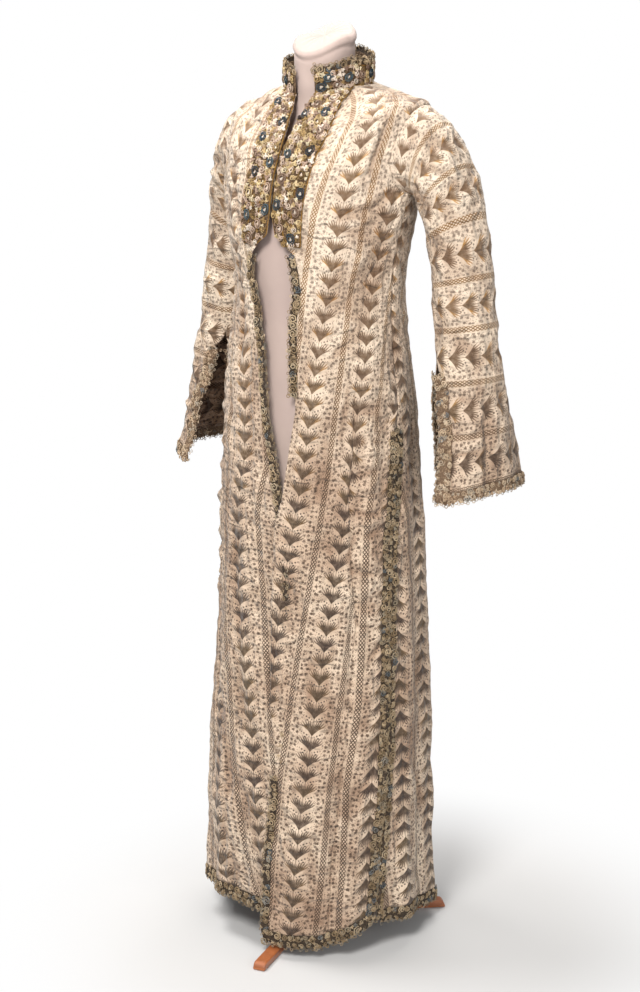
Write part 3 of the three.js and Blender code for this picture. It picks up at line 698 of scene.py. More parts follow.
def fold_height(turn, level):
    """Height of the main folds, which fade out before their top."""
    height = np.zeros(np.broadcast(turn, level).shape)
    for low_turn, high_turn, low, high, width, tall in FOLDS:
        along = (level - low) / (high - low)
        away = wrapped(turn - (low_turn + (high_turn - low_turn) * along))
        inside = (along >= 0) & (along <= 1)
        strength = np.sin(along * math.pi) if low > 0 else 1 - ease(0.35, 1, along)
        height += np.where(inside, tall * strength * np.exp(-((away / width) ** 2)), 0)
    return height


def lap_shift(side, turn, level):
    """How far the fronts stand off each other where they lap."""
    low = 1 - ease(5.9, 6.7, level)
    if side == "left":
        return LAP_OUT * low * (1 - ease(19, 32, turn))
    if side == "right":
        hem = LAP_HEM_IN * (1 - ease(0, 1.8, level)) * ease(-60, -12, turn)
        return -LAP_IN * low * ease(-16, -5, turn) - hem
    return 0 * level


def hem_lift(side, turn, level):
    """How far the uneven hem is raised."""
    place = wrapped(turn)
    place = np.minimum(place, 6) if side == "right" else place
    place = np.maximum(place, 9) if side == "left" else place
    return value_at(LIFT["turn"], LIFT["lift"], place) * (1 - ease(0, 1.4, level))


def shoulder_drop(turn, level):
    """How far the right shoulder hangs below the left one."""
    along = ease(11.4, 13, level) * (1 - ease(14, 16, level))
    return SHOULDER_DROP * along * np.maximum(-np.sin(turn * DEGREE), 0)


def body_point(side, turn, level):
    """Points of the robe's body in millimetres: turn 0 is the front, 90 the wearer's left."""
    turn, level = np.broadcast_arrays(np.asarray(turn, float), np.asarray(level, float))
    level = np.clip(level, 0, TOP_LEVEL)
    point = hoop_point(ROBE_HOOPS, turn, level)
    centre = smooth_row(ROBE_HOOPS, level)[..., 3]
    out = point - np.stack([0 * centre, centre, point[..., 2]], -1)
    out /= np.linalg.norm(out, axis=-1, keepdims=True)
    point = point + out * (fold_height(turn, level) + lap_shift(side, turn, level))[..., None]
    point[..., 2] += hem_lift(side, turn, level) - shoulder_drop(turn, level)
    return point


def body_normal(side, turn, level):
    """Outward directions on the robe's body."""
    level = np.asarray(level, float)
    across = body_point(side, turn + 0.5, level) - body_point(side, turn - 0.5, level)
    high = np.minimum(level + 0.02, TOP_LEVEL)
    low = np.maximum(level - 0.02, 0)
    up = body_point(side, turn, high) - body_point(side, turn, low)
    normal = np.cross(across, up)
    return normal / np.linalg.norm(normal, axis=-1, keepdims=True)


def radius_at(level):
    """Mean radius of a hoop, for lengths along it."""
    hoop = smooth_row(ROBE_HOOPS, level)
    return (hoop[..., 0] * 2 + hoop[..., 1] + hoop[..., 2]) / 4


def armhole_share(level):
    """Width of the armhole at a level, as a share of its widest."""
    middle = (UNDERARM_LEVEL + ARMHOLE_TOP_LEVEL) / 2
    share = (level - middle) / ((ARMHOLE_TOP_LEVEL - UNDERARM_LEVEL) / 2)
    return np.sqrt(np.maximum(1 - share * share, 0))


def edge_turn(side, level):
    """Turn of a front's opening edge."""
    return value_at(EDGE["level"], EDGE[side], level)


def gore_turn(level):
    """Turn of the seam between front and gore."""
    return value_at(SEAM["level"], SEAM["gore"], level)


def side_turn(level):
    """Turn of the seam between gore and back."""
    return value_at(SEAM["level"], SEAM["side"], level)


def slit_half(level):
    """Half of the slit's width in degrees, with room for its two laces."""
    opened = 1 - ease(SLIT_FULL_LEVEL, SLIT_TOP_LEVEL, level)
    return (EDGE_LACE_WIDTH + 1) * opened / (radius_at(level) * DEGREE)


def tucked(level):
    """Degrees of cloth that run on under the sleeve's head."""
    return ARMHOLE_TUCK * np.minimum(1, 2.5 * armhole_share(level))


def front_outer_turn(level):
    """Turn of a front's outer edge, along the gore and round the armhole."""
    above = 90 - ARMHOLE_FRONT_REACH * armhole_share(level) + tucked(level)
    return np.where(level <= UNDERARM_LEVEL, gore_turn(level), above)


def back_outer_turn(level):
    """Turn of the back's edge, along the slit and round the armhole."""
    above = 90 + ARMHOLE_BACK_REACH * armhole_share(level) - tucked(level)
    return np.where(level <= UNDERARM_LEVEL, side_turn(level) + slit_half(level), above)


def seam_puckers():
    """Short uneven gathers beside the gores' seams."""
    rows = []
    for side in (1, -1):
        for k in range(22):
            z = 1165 - 27 * k + 7 * math.sin(2.1 * k)
            start, end = 55 + 3 * math.sin(1.3 * k), 68 + 2 * math.sin(2.7 * k)
            tall = 1.7 if k % 2 else -2.1
            rows.append((side * start, z, side * end, z + 9 * math.sin(1.7 * k), 6.5, tall))
    return tuple(rows)


def ridges(x, y, rows, end_share, margin=0.0):
    """Height of soft ridges along short lines. A row has both ends of its line, its half
    width and its height, which falls to a share of itself at the ends."""
    height = np.zeros(x.shape)
    for x0, y0, x1, y1, width, tall in rows:
        line = np.array([x1 - x0, y1 - y0])
        kept = ((x - x0) * line[0] + (y - y0) * line[1]) / (line @ line)
        kept = np.clip(kept, 0, 1)
        away = np.hypot(x - x0 - kept * line[0], y - y0 - kept * line[1])
        taper = np.sin(np.clip(kept, margin, 1 - margin) * math.pi)
        taper = end_share + (1 - end_share) * taper
        height += tall * taper * np.exp(-((away / width) ** 2))
    return height


def crease_height(turn, z):
    """Height of the body's small creases and of the gathers beside its seams."""
    rows = [
        (wrapped(t0) * TURN_LENGTH, z0, wrapped(t1) * TURN_LENGTH, z1, width, tall)
        for t0, z0, t1, z1, width, tall in CREASES + seam_puckers()
    ]
    return ridges(wrapped(turn) * TURN_LENGTH, z, rows, 0.45, 0.05)


def crumple(points, size, tall, seed, stretch=1.0):
    """Soft uneven relief by place, the same on every run."""
    shift = Vector((seed * 17.3, seed * 5.1, seed * 9.7))
    scale = Vector((1 / size, 1 / size, 1 / (size * stretch)))
    values = [noise.noise(Vector((p[0] * scale.x, p[1] * scale.y, p[2] * scale.z)) + shift)
              for p in points.reshape(-1, 3)]
    return tall * np.array(values).reshape(points.shape[:-1])


def in_frame(points):
    """Millimetres about the maker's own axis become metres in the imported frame."""
    low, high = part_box("pole")
    shift = np.array([(low.x + high.x) / 2, (low.y + high.y) / 2, 0])
    return (np.asarray(points) - np.array([*POLE_PLACE, 0])) * MM + shift


# ------------------------------------------------------------------ mesh helpers


def finished(name, bm, materials, nodes=(), smooth=True):
    """The piece's object at the origin, riding on the body and standing for its CAD nodes."""
    mesh = bpy.data.meshes.new(name)
    for face in bm.faces:
        face.smooth = smooth
    bm.to_mesh(mesh)
    bm.free()
    for material in materials:
        mesh.materials.append(material)
    piece = bpy.data.objects.new(name, mesh)
    bpy.context.scene.collection.objects.link(piece)
    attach(piece, "root")
    if nodes:
        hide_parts(*nodes)
    return piece


def grid_mesh(columns_, rows, place, fabric=None, pick=None, depth=None):
    """A grid bent onto a surface. place gives points for shares across and up, fabric the
    place in the cloth's own print, in metres, and depth the height of its folds in mm."""
    bm = bmesh.new()
    bmesh.ops.create_grid(bm, x_segments=columns_, y_segments=rows, size=0.5)
    share = np.array([(v.co.x + 0.5, v.co.y + 0.5) for v in bm.verts])
    points = in_frame(place(share[:, 0], share[:, 1]))
    if fabric is not None:
        bm.verts.index_update()
        layer = bm.loops.layers.uv.new("fabric")
        fields = [np.asarray(f) for f in fabric(share[:, 0], share[:, 1])]
        for face in bm.faces:
            middle = face.calc_center_median()
            k = pick(middle.x + 0.5, middle.y + 0.5) if pick else 0
            for loop in face.loops:
                loop[layer].uv = fields[k][loop.vert.index]
    for vert, point in zip(bm.verts, points):
        vert.co = point
    if depth is not None:
        layer = bm.verts.layers.float.new("depth")
        for vert, height in zip(bm.verts, depth(share[:, 0], share[:, 1])):
            vert[layer] = height
    return bm


def thicken(piece, thickness, reverse=0):
    """Gives a sheet its wall, whose inner side takes the material after by reverse."""
    wall = piece.modifiers.new("wall", "SOLIDIFY")
    wall.thickness = thickness
    wall.offset = 0.0
    wall.material_offset = reverse
    wall.use_even_offset = False
    return piece


def area_of(piece):
    """Surface of the piece's own mesh, before its wall gets a thickness."""
    return sum(face.area for face in piece.data.polygons)


def path_lengths(path):
    """Length walked to each point of a path."""
    steps = np.linalg.norm(np.diff(path, axis=0), axis=1)
    return np.concatenate([[0], np.cumsum(steps)])


# ------------------------------------------------------------------ the print's place


def stripe_tables(side):
    """Levels, and the turns of a front's stripes at each."""
    rows = LEFT_STRIPES if side == "left" else RIGHT_STRIPES
    levels = np.array([row[0] for row in rows], float)
    turns = np.array([row[1:] for row in rows], float)
    return levels, turns


def front_print(side, turn, level):
    """Place in the print of a front: across the stripes and along them, in metres."""
    levels, turns = stripe_tables(side)
    lines = np.stack([np.interp(level, levels, turns[:, k]) for k in range(5)], -1)
    sign = 1 if side == "left" else -1
    place = sign * (turn[..., None] - lines)
    gaps = np.maximum(sign * np.diff(lines, axis=-1), 1e-6)
    k = np.clip((place > 0).sum(-1) - 1, 0, 3)
    near = np.take_along_axis(place, k[..., None], -1)[..., 0]
    gap = np.take_along_axis(gaps, k[..., None], -1)[..., 0]
    across = (k + near / gap) / 2
    samples = np.linspace(0, TOP_LEVEL, 321)
    column = np.interp(samples, levels, turns[:, 1])
    length = path_lengths(body_point(side, column, samples))
    flat = np.gradient(column * DEGREE * radius_at(samples), length)
    lean = np.interp(level, samples, np.convolve(flat, np.ones(25) / 25, "same"))
    along = np.interp(level, samples, length) + STRIPE_REPEAT * (across - 0.5) * lean * sign
    return np.stack([across * STRIPE_REPEAT * MM, along * MM], -1)


def gore_print(side, turn, level):
    """Place in the print of a gore: off its lattice and down from the top, in metres."""
    line = np.interp(level, [r[0] for r in GORE_LATTICE], [r[1] for r in GORE_LATTICE])
    across = (np.abs(wrapped(turn)) - line) * DEGREE * radius_at(level)
    along = -body_point(side, turn, level)[..., 2]
    return np.stack([across * MM, along * MM], -1)


def back_print(turn, level):
    """Place in the print of the back, the same on both sides of its middle, in metres."""
    away = np.abs(wrapped(turn - 180))
    spread = np.interp(level, *BACK_PRINT_SPREAD)
    across = away * DEGREE * radius_at(level) * spread
    along = -body_point("back", turn, level)[..., 2]
    return np.stack([across * MM, along * MM], -1)


# ------------------------------------------------------------------ cloth panels


def panel_levels(share, top=TOP_LEVEL):
    """Levels for even steps up the cloth."""
    samples = np.linspace(0, top, 200)
    length = path_lengths(body_point("back", 120.0, samples))
    return np.interp(share * length[-1], length, samples)


def seam_share(turn, level):
    """1 on the gore's and the side seams, falling to 0 a few millimetres off."""
    place = np.abs(wrapped(turn))
    around = radius_at(level) * DEGREE
    near = np.exp(-(((place - gore_turn(level)) * around / SEAM_REACH) ** 2))
    side = np.exp(-(((place - side_turn(level)) * around / SEAM_REACH) ** 2))
    side = side * (level > SLIT_TOP_LEVEL)
    return np.maximum(near, side) * (level < UNDERARM_LEVEL)


def fold_relief(side, turn, level):
    """Height of the small folds in millimetres, with the cloth pressed in along its seams."""
    point = body_point(side, turn, level)
    near = seam_share(turn, level)
    low = 1 - ease(5.5, 9, level)
    height = crease_height(turn, point[..., 2]) * CREASE_DEPTH
    height = height + crumple(point, *BROAD_CRUMPLE)
    height = height + crumple(point, *LONG_CRUMPLE) * low
    height = height + crumple(point, *FINE_CRUMPLE) * (1 + near)
    return height * robe_sizes().crease_strength - SEAM_PRESS * near


def relief(side, turn, level):
    """Cloth surface with its creases."""
    turn, level = np.broadcast_arrays(turn, level)
    height = fold_relief(side, turn, level)
    return body_point(side, turn, level) + body_normal(side, turn, level) * height[..., None]


def cloth_piece(node, side, edges, grid, top=TOP_LEVEL):
    """One panel of the robe between two edges, given as turns by level."""
    is_gore = node.startswith("gore")

    def turns(u, v):
        level = panel_levels(v, top)
        first, last = edges(level)
        return first + (last - first) * u, level

    def place(u, v):
        return relief(side, *turns(u, v))

    def fabric(u, v):
        if side == "back":
            return [back_print(*turns(u, v))]
        fields = [front_print(side, *turns(u, v))]
        if is_gore:
            fields.append(gore_print(side, *turns(u, v)))
        return fields

    def pick(u, v):
        turn, level = turns(np.array([u]), np.array([v]))
        return 1 if abs(turn[0]) > np.interp(level[0], [5.6, 7.0], [0, 88]) else 0

    def depth(u, v):
        return fold_relief(side, *turns(u, v))

    bm = grid_mesh(*grid, place, fabric, pick if is_gore else None, depth)
    piece = finished(f"{node}_cloth", bm, printed_cloth(), [node])
    thicken(piece, robe_sizes().cloth_wall, 1)


# ------------------------------------------------------------------ sleeves


def sleeve_ring(row, around, side):
    """Points of a sleeve at fractional rows and turns about its ring, in millimetres."""
    wide = smooth_row(SLEEVE, np.asarray(row, float))
    inner_x, inner_z, outer_x, outer_z, middle, deep = np.moveaxis(wide[..., :6], -1, 0)
    up = np.sin(around * DEGREE)
    settle = np.asarray(row, float) / (len(SLEEVE) - 1)
    shift = ease(0, 0.4, settle) if side == "right" else 0 * settle
    x = (inner_x + outer_x) / 2 + (outer_x - inner_x) / 2 * up
    z = (inner_z + outer_z) / 2 + (outer_z - inner_z) / 2 * up
    y = middle + RIGHT_SLEEVE_BACK * shift - deep * np.cos(around * DEGREE)
    x = x - RIGHT_SLEEVE_IN * shift
    if side == "right":
        return np.stack([-x, y, z - RIGHT_SLEEVE_DROP * (1 - settle)], -1)
    return np.stack([x, y, z], -1)


def armhole_point(around, side):
    """Points of the armhole that the sleeve's head is set to."""
    middle = (UNDERARM_LEVEL + ARMHOLE_TOP_LEVEL) / 2
    reach = (ARMHOLE_TOP_LEVEL - UNDERARM_LEVEL) / 2
    cosine = np.cos(around * DEGREE)
    width = np.where(cosine > 0, ARMHOLE_FRONT_REACH, ARMHOLE_BACK_REACH)
    sign = 1 if side == "left" else -1
    turn = sign * (90 - width * cosine)
    level = middle + reach * np.sin(around * DEGREE)
    return body_point("back", turn, level) + body_normal("back", turn, level) * SLEEVE_STAND_OFF


def sleeve_place(u, v, side):
    """Share across the opened sleeve and share down it, from armhole to cuff."""
    rows = len(SLEEVE)
    down = v * rows
    row = np.clip(down - 1, 0, rows - 1)
    wide = smooth_row(SLEEVE, row)
    seam = wide[..., 6]
    spread = np.where(row > SLEEVE_CLOSED_ROWS - 1, wide[..., 7], 0)
    spread = np.where(row < SLEEVE_CLOSED_ROWS, spread * ease(6.3, 7, row), spread)
    around = seam + spread + (360 - 2 * spread) * u
    point = sleeve_ring(row, around, side)
    head = armhole_point(-90 + 360 * u, side)
    mix = np.clip(down, 0, 1)[..., None]
    return np.where(mix < 1, head + (point - head) * mix, point), around, row


def sleeve_normal(u, v, side):
    """Outward directions on a sleeve."""
    step = 0.004
    across = sleeve_place(u + step, v, side)[0] - sleeve_place(u - step, v, side)[0]
    down = sleeve_place(u, np.minimum(v + step, 1), side)[0]
    down = down - sleeve_place(u, np.maximum(v - step, 0), side)[0]
    normal = np.cross(across, -down) * (1 if side == "left" else -1)
    return normal / np.maximum(np.linalg.norm(normal, axis=-1, keepdims=True), 1e-9)


def sleeve_folds(u, v, side):
    """Height of a sleeve's folds in millimetres."""
    point, around, row = sleeve_place(u, v, side)
    seed = SLEEVE_SEEDS[side]
    turn, down = SLEEVE_TURN_LENGTH, SLEEVE_ROW_LENGTH
    rows = [
        (a0 * turn, r0 * down, a1 * turn, r1 * down, width, tall)
        for r0, a0, r1, a1, width, tall in SLEEVE_CREASES
    ]
    height = ridges(around * turn, row * down, rows, 0.5) * SLEEVE_CREASE_DEPTH
    height = height + crumple(point, 30, 4.2, seed) + crumple(point, 13, 1.8, seed + 4)
    return height * ease(0, 0.06, v) * robe_sizes().crease_strength


def sleeve_relief(u, v, side):
    height = sleeve_folds(u, v, side)
    return sleeve_place(u, v, side)[0] + sleeve_normal(u, v, side) * height[..., None]


def sleeve_print(u, v, side):
    """Place in the print of a sleeve, whose stripes run round it, in metres."""
    _, around, row = sleeve_place(u, v, side)
    known, lattice = zip(*SLEEVE_RINGS)
    rings = np.interp(row - np.maximum(1 - v * len(SLEEVE), 0), known, lattice)
    wide = smooth_row(SLEEVE, row)
    across = np.hypot(wide[..., 2] - wide[..., 0], wide[..., 3] - wide[..., 1])
    girth = np.pi * (across / 2 + wide[..., 5])
    along = around / 360 * girth * (1 if side == "left" else -1)
    return np.stack([rings * STRIPE_REPEAT * MM, along * MM], -1)


def sleeve_piece(side):
    """A sleeve sewn shut down to its slit, whose edges part below."""

    def place(u, v):
        return sleeve_relief(u, 1 - v, side)

    def fabric(u, v):
        return [sleeve_print(u, 1 - v, side)]

    def depth(u, v):
        return sleeve_folds(u, 1 - v, side)

    bm = grid_mesh(*SLEEVE_GRID, place, fabric, None, depth)
    bmesh.ops.remove_doubles(bm, verts=bm.verts, dist=MERGE_GAP)
    if side == "right":
        bmesh.ops.reverse_faces(bm, faces=bm.faces)
    piece = finished(f"sleeve_{side}_cloth", bm, printed_cloth(), [f"sleeve_{side}"])
    thicken(piece, robe_sizes().cloth_wall, 1)


# ------------------------------------------------------------------ shader maths


class Link:
    """A value in a shader's tree: sums and products of links add Math nodes."""

    def __init__(self, tree, socket=None):
        self.tree = tree
        self.socket = socket

    def make(self, kind, settings=None, sockets=None, out=0):
        """Adds a node of a type, with its settings first and then its sockets."""
        node = self.tree.nodes.new(kind)
        for key, value in (settings or {}).items():
            if key == "stops":
                while len(node.color_ramp.elements) < len(value):
                    node.color_ramp.elements.new(1)
                for stop, (place, *shade) in zip(node.color_ramp.elements, value):
                    stop.position = place
                    stop.color = colour(*shade)
            else:
                setattr(node, key, value)
        for key, value in (sockets or {}).items():
            if isinstance(value, Link):
                self.tree.links.new(value.socket, node.inputs[key])
            else:
                node.inputs[key].default_value = value
        return Link(self.tree, node.outputs[out])

    def maths(self, operation, *values):
        return self.make("ShaderNodeMath", {"operation": operation}, dict(enumerate(values)))

    def __add__(self, other):
        return self.maths("ADD", self, other)

    __radd__ = __add__

    def __mul__(self, other):
        return self.maths("MULTIPLY", self, other)

    __rmul__ = __mul__

    def __sub__(self, other):
        return self.maths("SUBTRACT", self, other)

    def __rsub__(self, other):
        return self.maths("SUBTRACT", other, self)

    def __truediv__(self, other):
        return self.maths("DIVIDE", self, other)

    def __abs__(self):
        return self.maths("ABSOLUTE", self)

    def fraction(self):
        return self.maths("FRACT", self)

    def floor(self):
        return self.maths("FLOOR", self)

    def length(self, other):
        """Distance from the origin to a place whose two shares are links."""
        return (self * self + other * other).square_root()

    def square_root(self):
        return self.maths("SQRT", self)

    def least(self, other):
        return self.maths("MINIMUM", self, other)

    def most(self, other):
        return self.maths("MAXIMUM", self, other)

    def step(self, start, end):
        """0 before start and 1 after end, smooth between."""
        sockets = {0: self, 1: start, 2: end, 3: 0.0, 4: 1.0}
        settings = {"interpolation_type": "SMOOTHSTEP"}
        return self.make("ShaderNodeMapRange", settings, sockets)

    def blend(self, first, second):
        """Colours mixed by this value."""
        sockets = {0: self, 6: first, 7: second}
        return self.make("ShaderNodeMix", {"data_type": "RGBA"}, sockets, 2)

    def noise(self, place, scale, detail=2.0):
        sockets = {"Vector": place, "Scale": scale, "Detail": detail}
        return self.make("ShaderNodeTexNoise", None, sockets)

    def waves(self, place, scale, direction, distortion=0.0, detail=2.0):
        sockets = {"Vector": place, "Scale": scale, "Distortion": distortion, "Detail": detail}
        return self.make("ShaderNodeTexWave", {"bands_direction": direction}, sockets)

    def cells(self, place, scale, randomness=1.0, dimensions="3D"):
        """Distance to the nearest of scattered spots."""
        settings = {"voronoi_dimensions": dimensions, "feature": "F1"}
        sockets = {"Vector": place, "Scale": scale, "Randomness": randomness}
        return self.make("ShaderNodeTexVoronoi", settings, sockets)

    def attribute(self, name):
        """A number that the piece's own points carry."""
        return self.make("ShaderNodeAttribute", {"attribute_name": name}, out=2)

    def stain_and_painted_shade(self, share, painted, shade):
        """Colours multiplied by a tone, by a share, which paints shade."""
        settings = {"data_type": "RGBA", "blend_type": "MULTIPLY"}
        return self.make("ShaderNodeMix", settings, {0: share, 6: painted, 7: shade}, 2)

    def object_place(self):
        return self.make("ShaderNodeTexCoord", out=3)

    def parts(self, vector):
        split = self.make("ShaderNodeSeparateXYZ", None, {0: vector})
        return [Link(self.tree, output) for output in split.socket.node.outputs]


def colour(red, green, blue):
    """A screen colour of 0 to 255 as the shader wants it."""
    return tuple((c / 255) ** 2.2 for c in (red, green, blue)) + (1.0,)


def new_material(name, **sockets):
    """A material with its shader's even values set, and the root link of its tree."""
    material = bpy.data.materials.new(name)
    material.use_nodes = True
    shader = material.node_tree.nodes["Principled BSDF"]
    for key, value in sockets.items():
        shader.inputs[key.replace("_", " ")].default_value = value
    return material, Link(material.node_tree), shader


def feed(root, shader, **values):
    """Joins links to the shader's sockets, with _ for a space in a socket's name."""
    for name, value in values.items():
        root.tree.links.new(value.socket, shader.inputs[name.replace("_", " ")])


def bump(root, height, distance, strength):
    sockets = {"Height": height, "Distance": distance, "Strength": strength}
    return root.make("ShaderNodeBump", None, sockets)


# ------------------------------------------------------------------ printed cloth


def spray_marks(x, y):
    """Leaf spray of one repeat: x from the stem and y up from the base, in mm. It gives the
    leaves, their veins, the stem, the turn off the stem and the bare lobe below."""
    lifted = y + SPRAY_FOOT
    reach = x.length(lifted)
    angle = x.maths("ARCTAN2", x, lifted) * (180 / math.pi)
    finger = abs((angle / FINGER_TURN).fraction() * 2 - 1)
    off = angle - WING_TURN
    limit = (WING_REACH - off * off * WING_FALL) * (1 - finger * FINGER_CUT)
    flank = (32 + reach * 0.75 - angle).step(-1.0, 3.0)
    along, away = lobe_axes(x, y - SPRAY_PITCH)
    along = (along - LOBE_MIDDLE[0]) / LOBE_HALF[0]
    away = (away - LOBE_MIDDLE[1]) / LOBE_HALF[1]
    lobe = along * along + away * away
    leaf = (limit - reach).step(-0.6, 0.5) * flank * lobe.step(0.85, 1.1)
    vein = abs(finger - 0.06).step(0.0, 0.22)
    stem = x.step(0.85, 0.4) * 0.85
    return leaf, vein, stem, angle, lobe.step(1.1, 0.85)


def lobe_axes(x, y):
    """Place along and across the turned lobe under a spray's wing."""
    cosine, sine = math.cos(LOBE_TURN * DEGREE), math.sin(LOBE_TURN * DEGREE)
    return x * cosine + y * sine, y * cosine - x * sine


def spray_dots(x, y):
    """Rows of dots in the bare lobe."""
    below = y - SPRAY_PITCH * y.step(SPRAY_PITCH / 2 - 0.1, SPRAY_PITCH / 2)
    along, away = lobe_axes(x, below)
    rows = []
    for offset, pitch, first, last in DOT_ROWS:
        side = ((along / pitch).fraction() - 0.5) * pitch
        dot = side.length(away + offset).step(DOT_RADIUS, 1.1)
        rows.append(dot * along.step(first - 0.5, first) * along.step(last, last - 0.5))
    return rows[0].most(rows[1])


def sprig_marks(root, across, along, away):
    """Small clover sprigs and specks in even rows beside the lattice."""
    seats = {0: across / SPRIG_PITCH[0], 1: along / SPRIG_PITCH[1]}
    place = root.make("ShaderNodeCombineXYZ", None, seats)
    ragged = (root.noise(place, 5.5, 0.0) - 0.5) * 0.4
    sprig = (root.cells(place, 1.0, 0.7, "2D") + ragged).step(0.34, 0.25)
    speck = root.cells(place, 2.2, 0.9, "2D").step(0.24, 0.16) * 0.8
    inner, outer = SPRIG_BAND
    end = away.step(outer + 1, outer)
    return (sprig * away.step(inner, inner + 3) * end).most(
        speck * away.step(inner - 2.5, inner) * end)


def lattice_marks(along, beside):
    """Crossed zigzag lines between two thin borders."""
    wave = abs((along / LATTICE_STEP).fraction() * 2 - 1)
    first = abs(beside - wave * LATTICE_HALF)
    second = abs(beside - (1 - wave) * LATTICE_HALF)
    lines = first.least(second).step(1.25, 0.6)
    lines = lines * beside.step(LATTICE_HALF + 0.5, LATTICE_HALF)
    border = abs(beside - (LATTICE_HALF + 0.8)).step(0.6, 0.2)
    return lines, border


def tone(name):
    """One of the robe's own colours, for a socket."""
    return (*getattr(bpy.context.scene.robe_colours, name), 1)


def cloth_ground(root, place, high, lobe):
    """The unprinted ground: cloudy, with patches and spots that are partly aged stains and partly
    painted shade of small crumples, and paler high on the robe and in the lobes.
    """
    cloudy = root.noise(place, 7.0, 3.0)
    ground = cloudy.step(0.3, 0.72).blend(tone("ground"), tone("shade"))
    # Patches and spots in the stain tone, stronger low on the robe: partly aged stains, partly
    # painted shade of small crumples.
    stains_and_painted_shade = root.noise(place, 2.6, 2.0).step(0.45, 0.75) * 0.55 * (1 - high * 0.6)
    ground = stains_and_painted_shade.blend(ground, tone("stain_and_painted_shade"))
    spots_and_painted_shade = root.noise(place, 38.0, 3.0).step(0.42, 0.68) * (0.46 - high * 0.2)
    ground = spots_and_painted_shade.blend(ground, tone("stain_and_painted_shade"))
    ground = (lobe * 0.35).blend(ground, tone("ground"))
    return (high * 0.45).blend(ground, tone("pale")), cloudy


def cloth_relief(root, woven, place):
    """Weave, crumple and drawn-out wrinkles that are too small for the mesh."""
    height = root.waves(woven, 180.0, "Y") * 0.03 + root.waves(woven, 180.0, "X") * 0.03
    height = height + root.noise(place, 55.0, 4.0) * 0.7 + root.noise(place, 22.0, 2.0) * 1.5
    for turn, scale in WRINKLES:
        drawn = root.make("ShaderNodeMapping", None, {0: place, 2: turn, 3: scale})
        ridge = abs(root.noise(drawn, 1.0, 2.0) - 0.5)
        height = height + ridge.step(0.14, 0.0) * 0.75
    return height


def cloth_material(name, reverse_shade=0.0):
    """Printed cloth: leaf sprays between bands of lattice, laid by the fabric's own map, with
    painted shade in its hollows and, by a share, on its reverse.
    """
    material, root, shader = new_material(name, Sheen_Weight=0.1)
    woven = root.make("ShaderNodeUVMap", {"uv_map": "fabric"})
    u, v, _ = root.parts(woven)
    across, along = u * (1 / MM), v * (1 / MM)
    x = abs((across / STRIPE_REPEAT).fraction() * STRIPE_REPEAT - STRIPE_REPEAT / 2)
    row, column = (along / SPRAY_PITCH).floor(), (across / STRIPE_REPEAT).floor()
    seat = root.make("ShaderNodeCombineXYZ", None, {0: row, 1: column})
    chance = root.make("ShaderNodeTexWhiteNoise", {"noise_dimensions": "2D"}, {0: seat})
    place = root.object_place()
    high = root.parts(place)[2].step(0.7, 1.25)
    worn = root.noise(place, 150.0, 2.0).step(0.28, 0.62)

    y = along - row * SPRAY_PITCH
    leaf, vein, stem, angle, lobe = spray_marks(x, y)
    lines, border = lattice_marks(along, STRIPE_REPEAT / 2 - x)
    sprigs = sprig_marks(root, across, along, x)
    dots = spray_dots(x, y)

    painted, cloudy = cloth_ground(root, place, high, lobe)
    brown = chance.blend(tone("brown"), tone("olive"))
    brown = (high * 0.5).blend(brown, tone("tan"))
    golden = chance.step(0.42, 0.5) * angle.step(30, 44) * (high * 0.85 + 0.15)
    spray = golden.blend(brown, tone("ochre"))
    spray = (vein * 0.36 + 0.64).blend(tone("shade"), spray)
    line = (high * 0.4 + 0.05).blend(tone("dark"), tone("ochre"))
    for share, shade in (
        (leaf * (worn * 0.15 + 0.85), spray),
        (stem * 0.8, brown),
        (dots * (0.92 - high * 0.25), tone("dark")),
        (sprigs * (worn * 0.25 + 0.72) * (1 - high * 0.28), tone("sprig")),
        (lines * (worn * 0.12 + 0.88), line),
        (border * 0.35, line),
    ):
        painted = share.blend(painted, shade)
    # Painted shade: the cloth darkens where its folds and pressed seams sink in.
    hollow_shade = root.attribute("depth").step(1.5, -3.5) * 0.68
    painted = root.stain_and_painted_shade(hollow_shade, painted, HOLLOW_SHADE_TONE)
    # Painted shade over the cloth's reverse, by a share.
    painted = root.stain_and_painted_shade(reverse_shade, painted, REVERSE_SHADE_TONE)

    relief_bump = bump(root, cloth_relief(root, woven, place), distance=0.0045, strength=0.9)
    feed(root, shader, Base_Color=painted, Normal=relief_bump, Roughness=0.66 + cloudy * 0.2)
    return material


# ------------------------------------------------------------------ thread, form and stand


def thread_material(name):
    """Coiled metal thread, whose colour runs along the tint that each coil carries."""
    metallic, rough = THREAD_GLOSS[name]
    material, root, shader = new_material(name, Metallic=metallic)
    place = root.object_place()
    grime = root.noise(place, 320.0, 3.0)
    along = root.attribute("tint") + (grime - 0.5) * 0.22
    ramp = root.make("ShaderNodeValToRGB", {"stops": THREADS[name]}, {0: along})
    dark = root.noise(place, 90.0, 2.0).step(0.62, 0.42) * 0.45 * 0.6
    twist = root.waves(place, 420.0, "DIAGONAL", 3.0)
    feed(root, shader, Base_Color=dark.blend(ramp, colour(80, 62, 40)),
         Roughness=rough + grime * 0.25,
         Normal=bump(root, twist + grime, distance=0.0004, strength=0.6))
    return material


def ground_material(name):
    """Knotted net or stiff ground under lace and coils."""
    light, dark = (colour(*shade) for shade in GROUNDS[name])
    material, root, shader = new_material(name, Roughness=0.8)
    place = root.object_place()
    knots = root.cells(place, 420.0).step(0.15, 0.6)
    blotch = root.noise(place, 60.0, 3.0)
    feed(root, shader, Base_Color=knots.blend(blotch.blend(light, dark), dark),
         Normal=bump(root, knots + blotch, distance=0.001, strength=0.8))
    return material


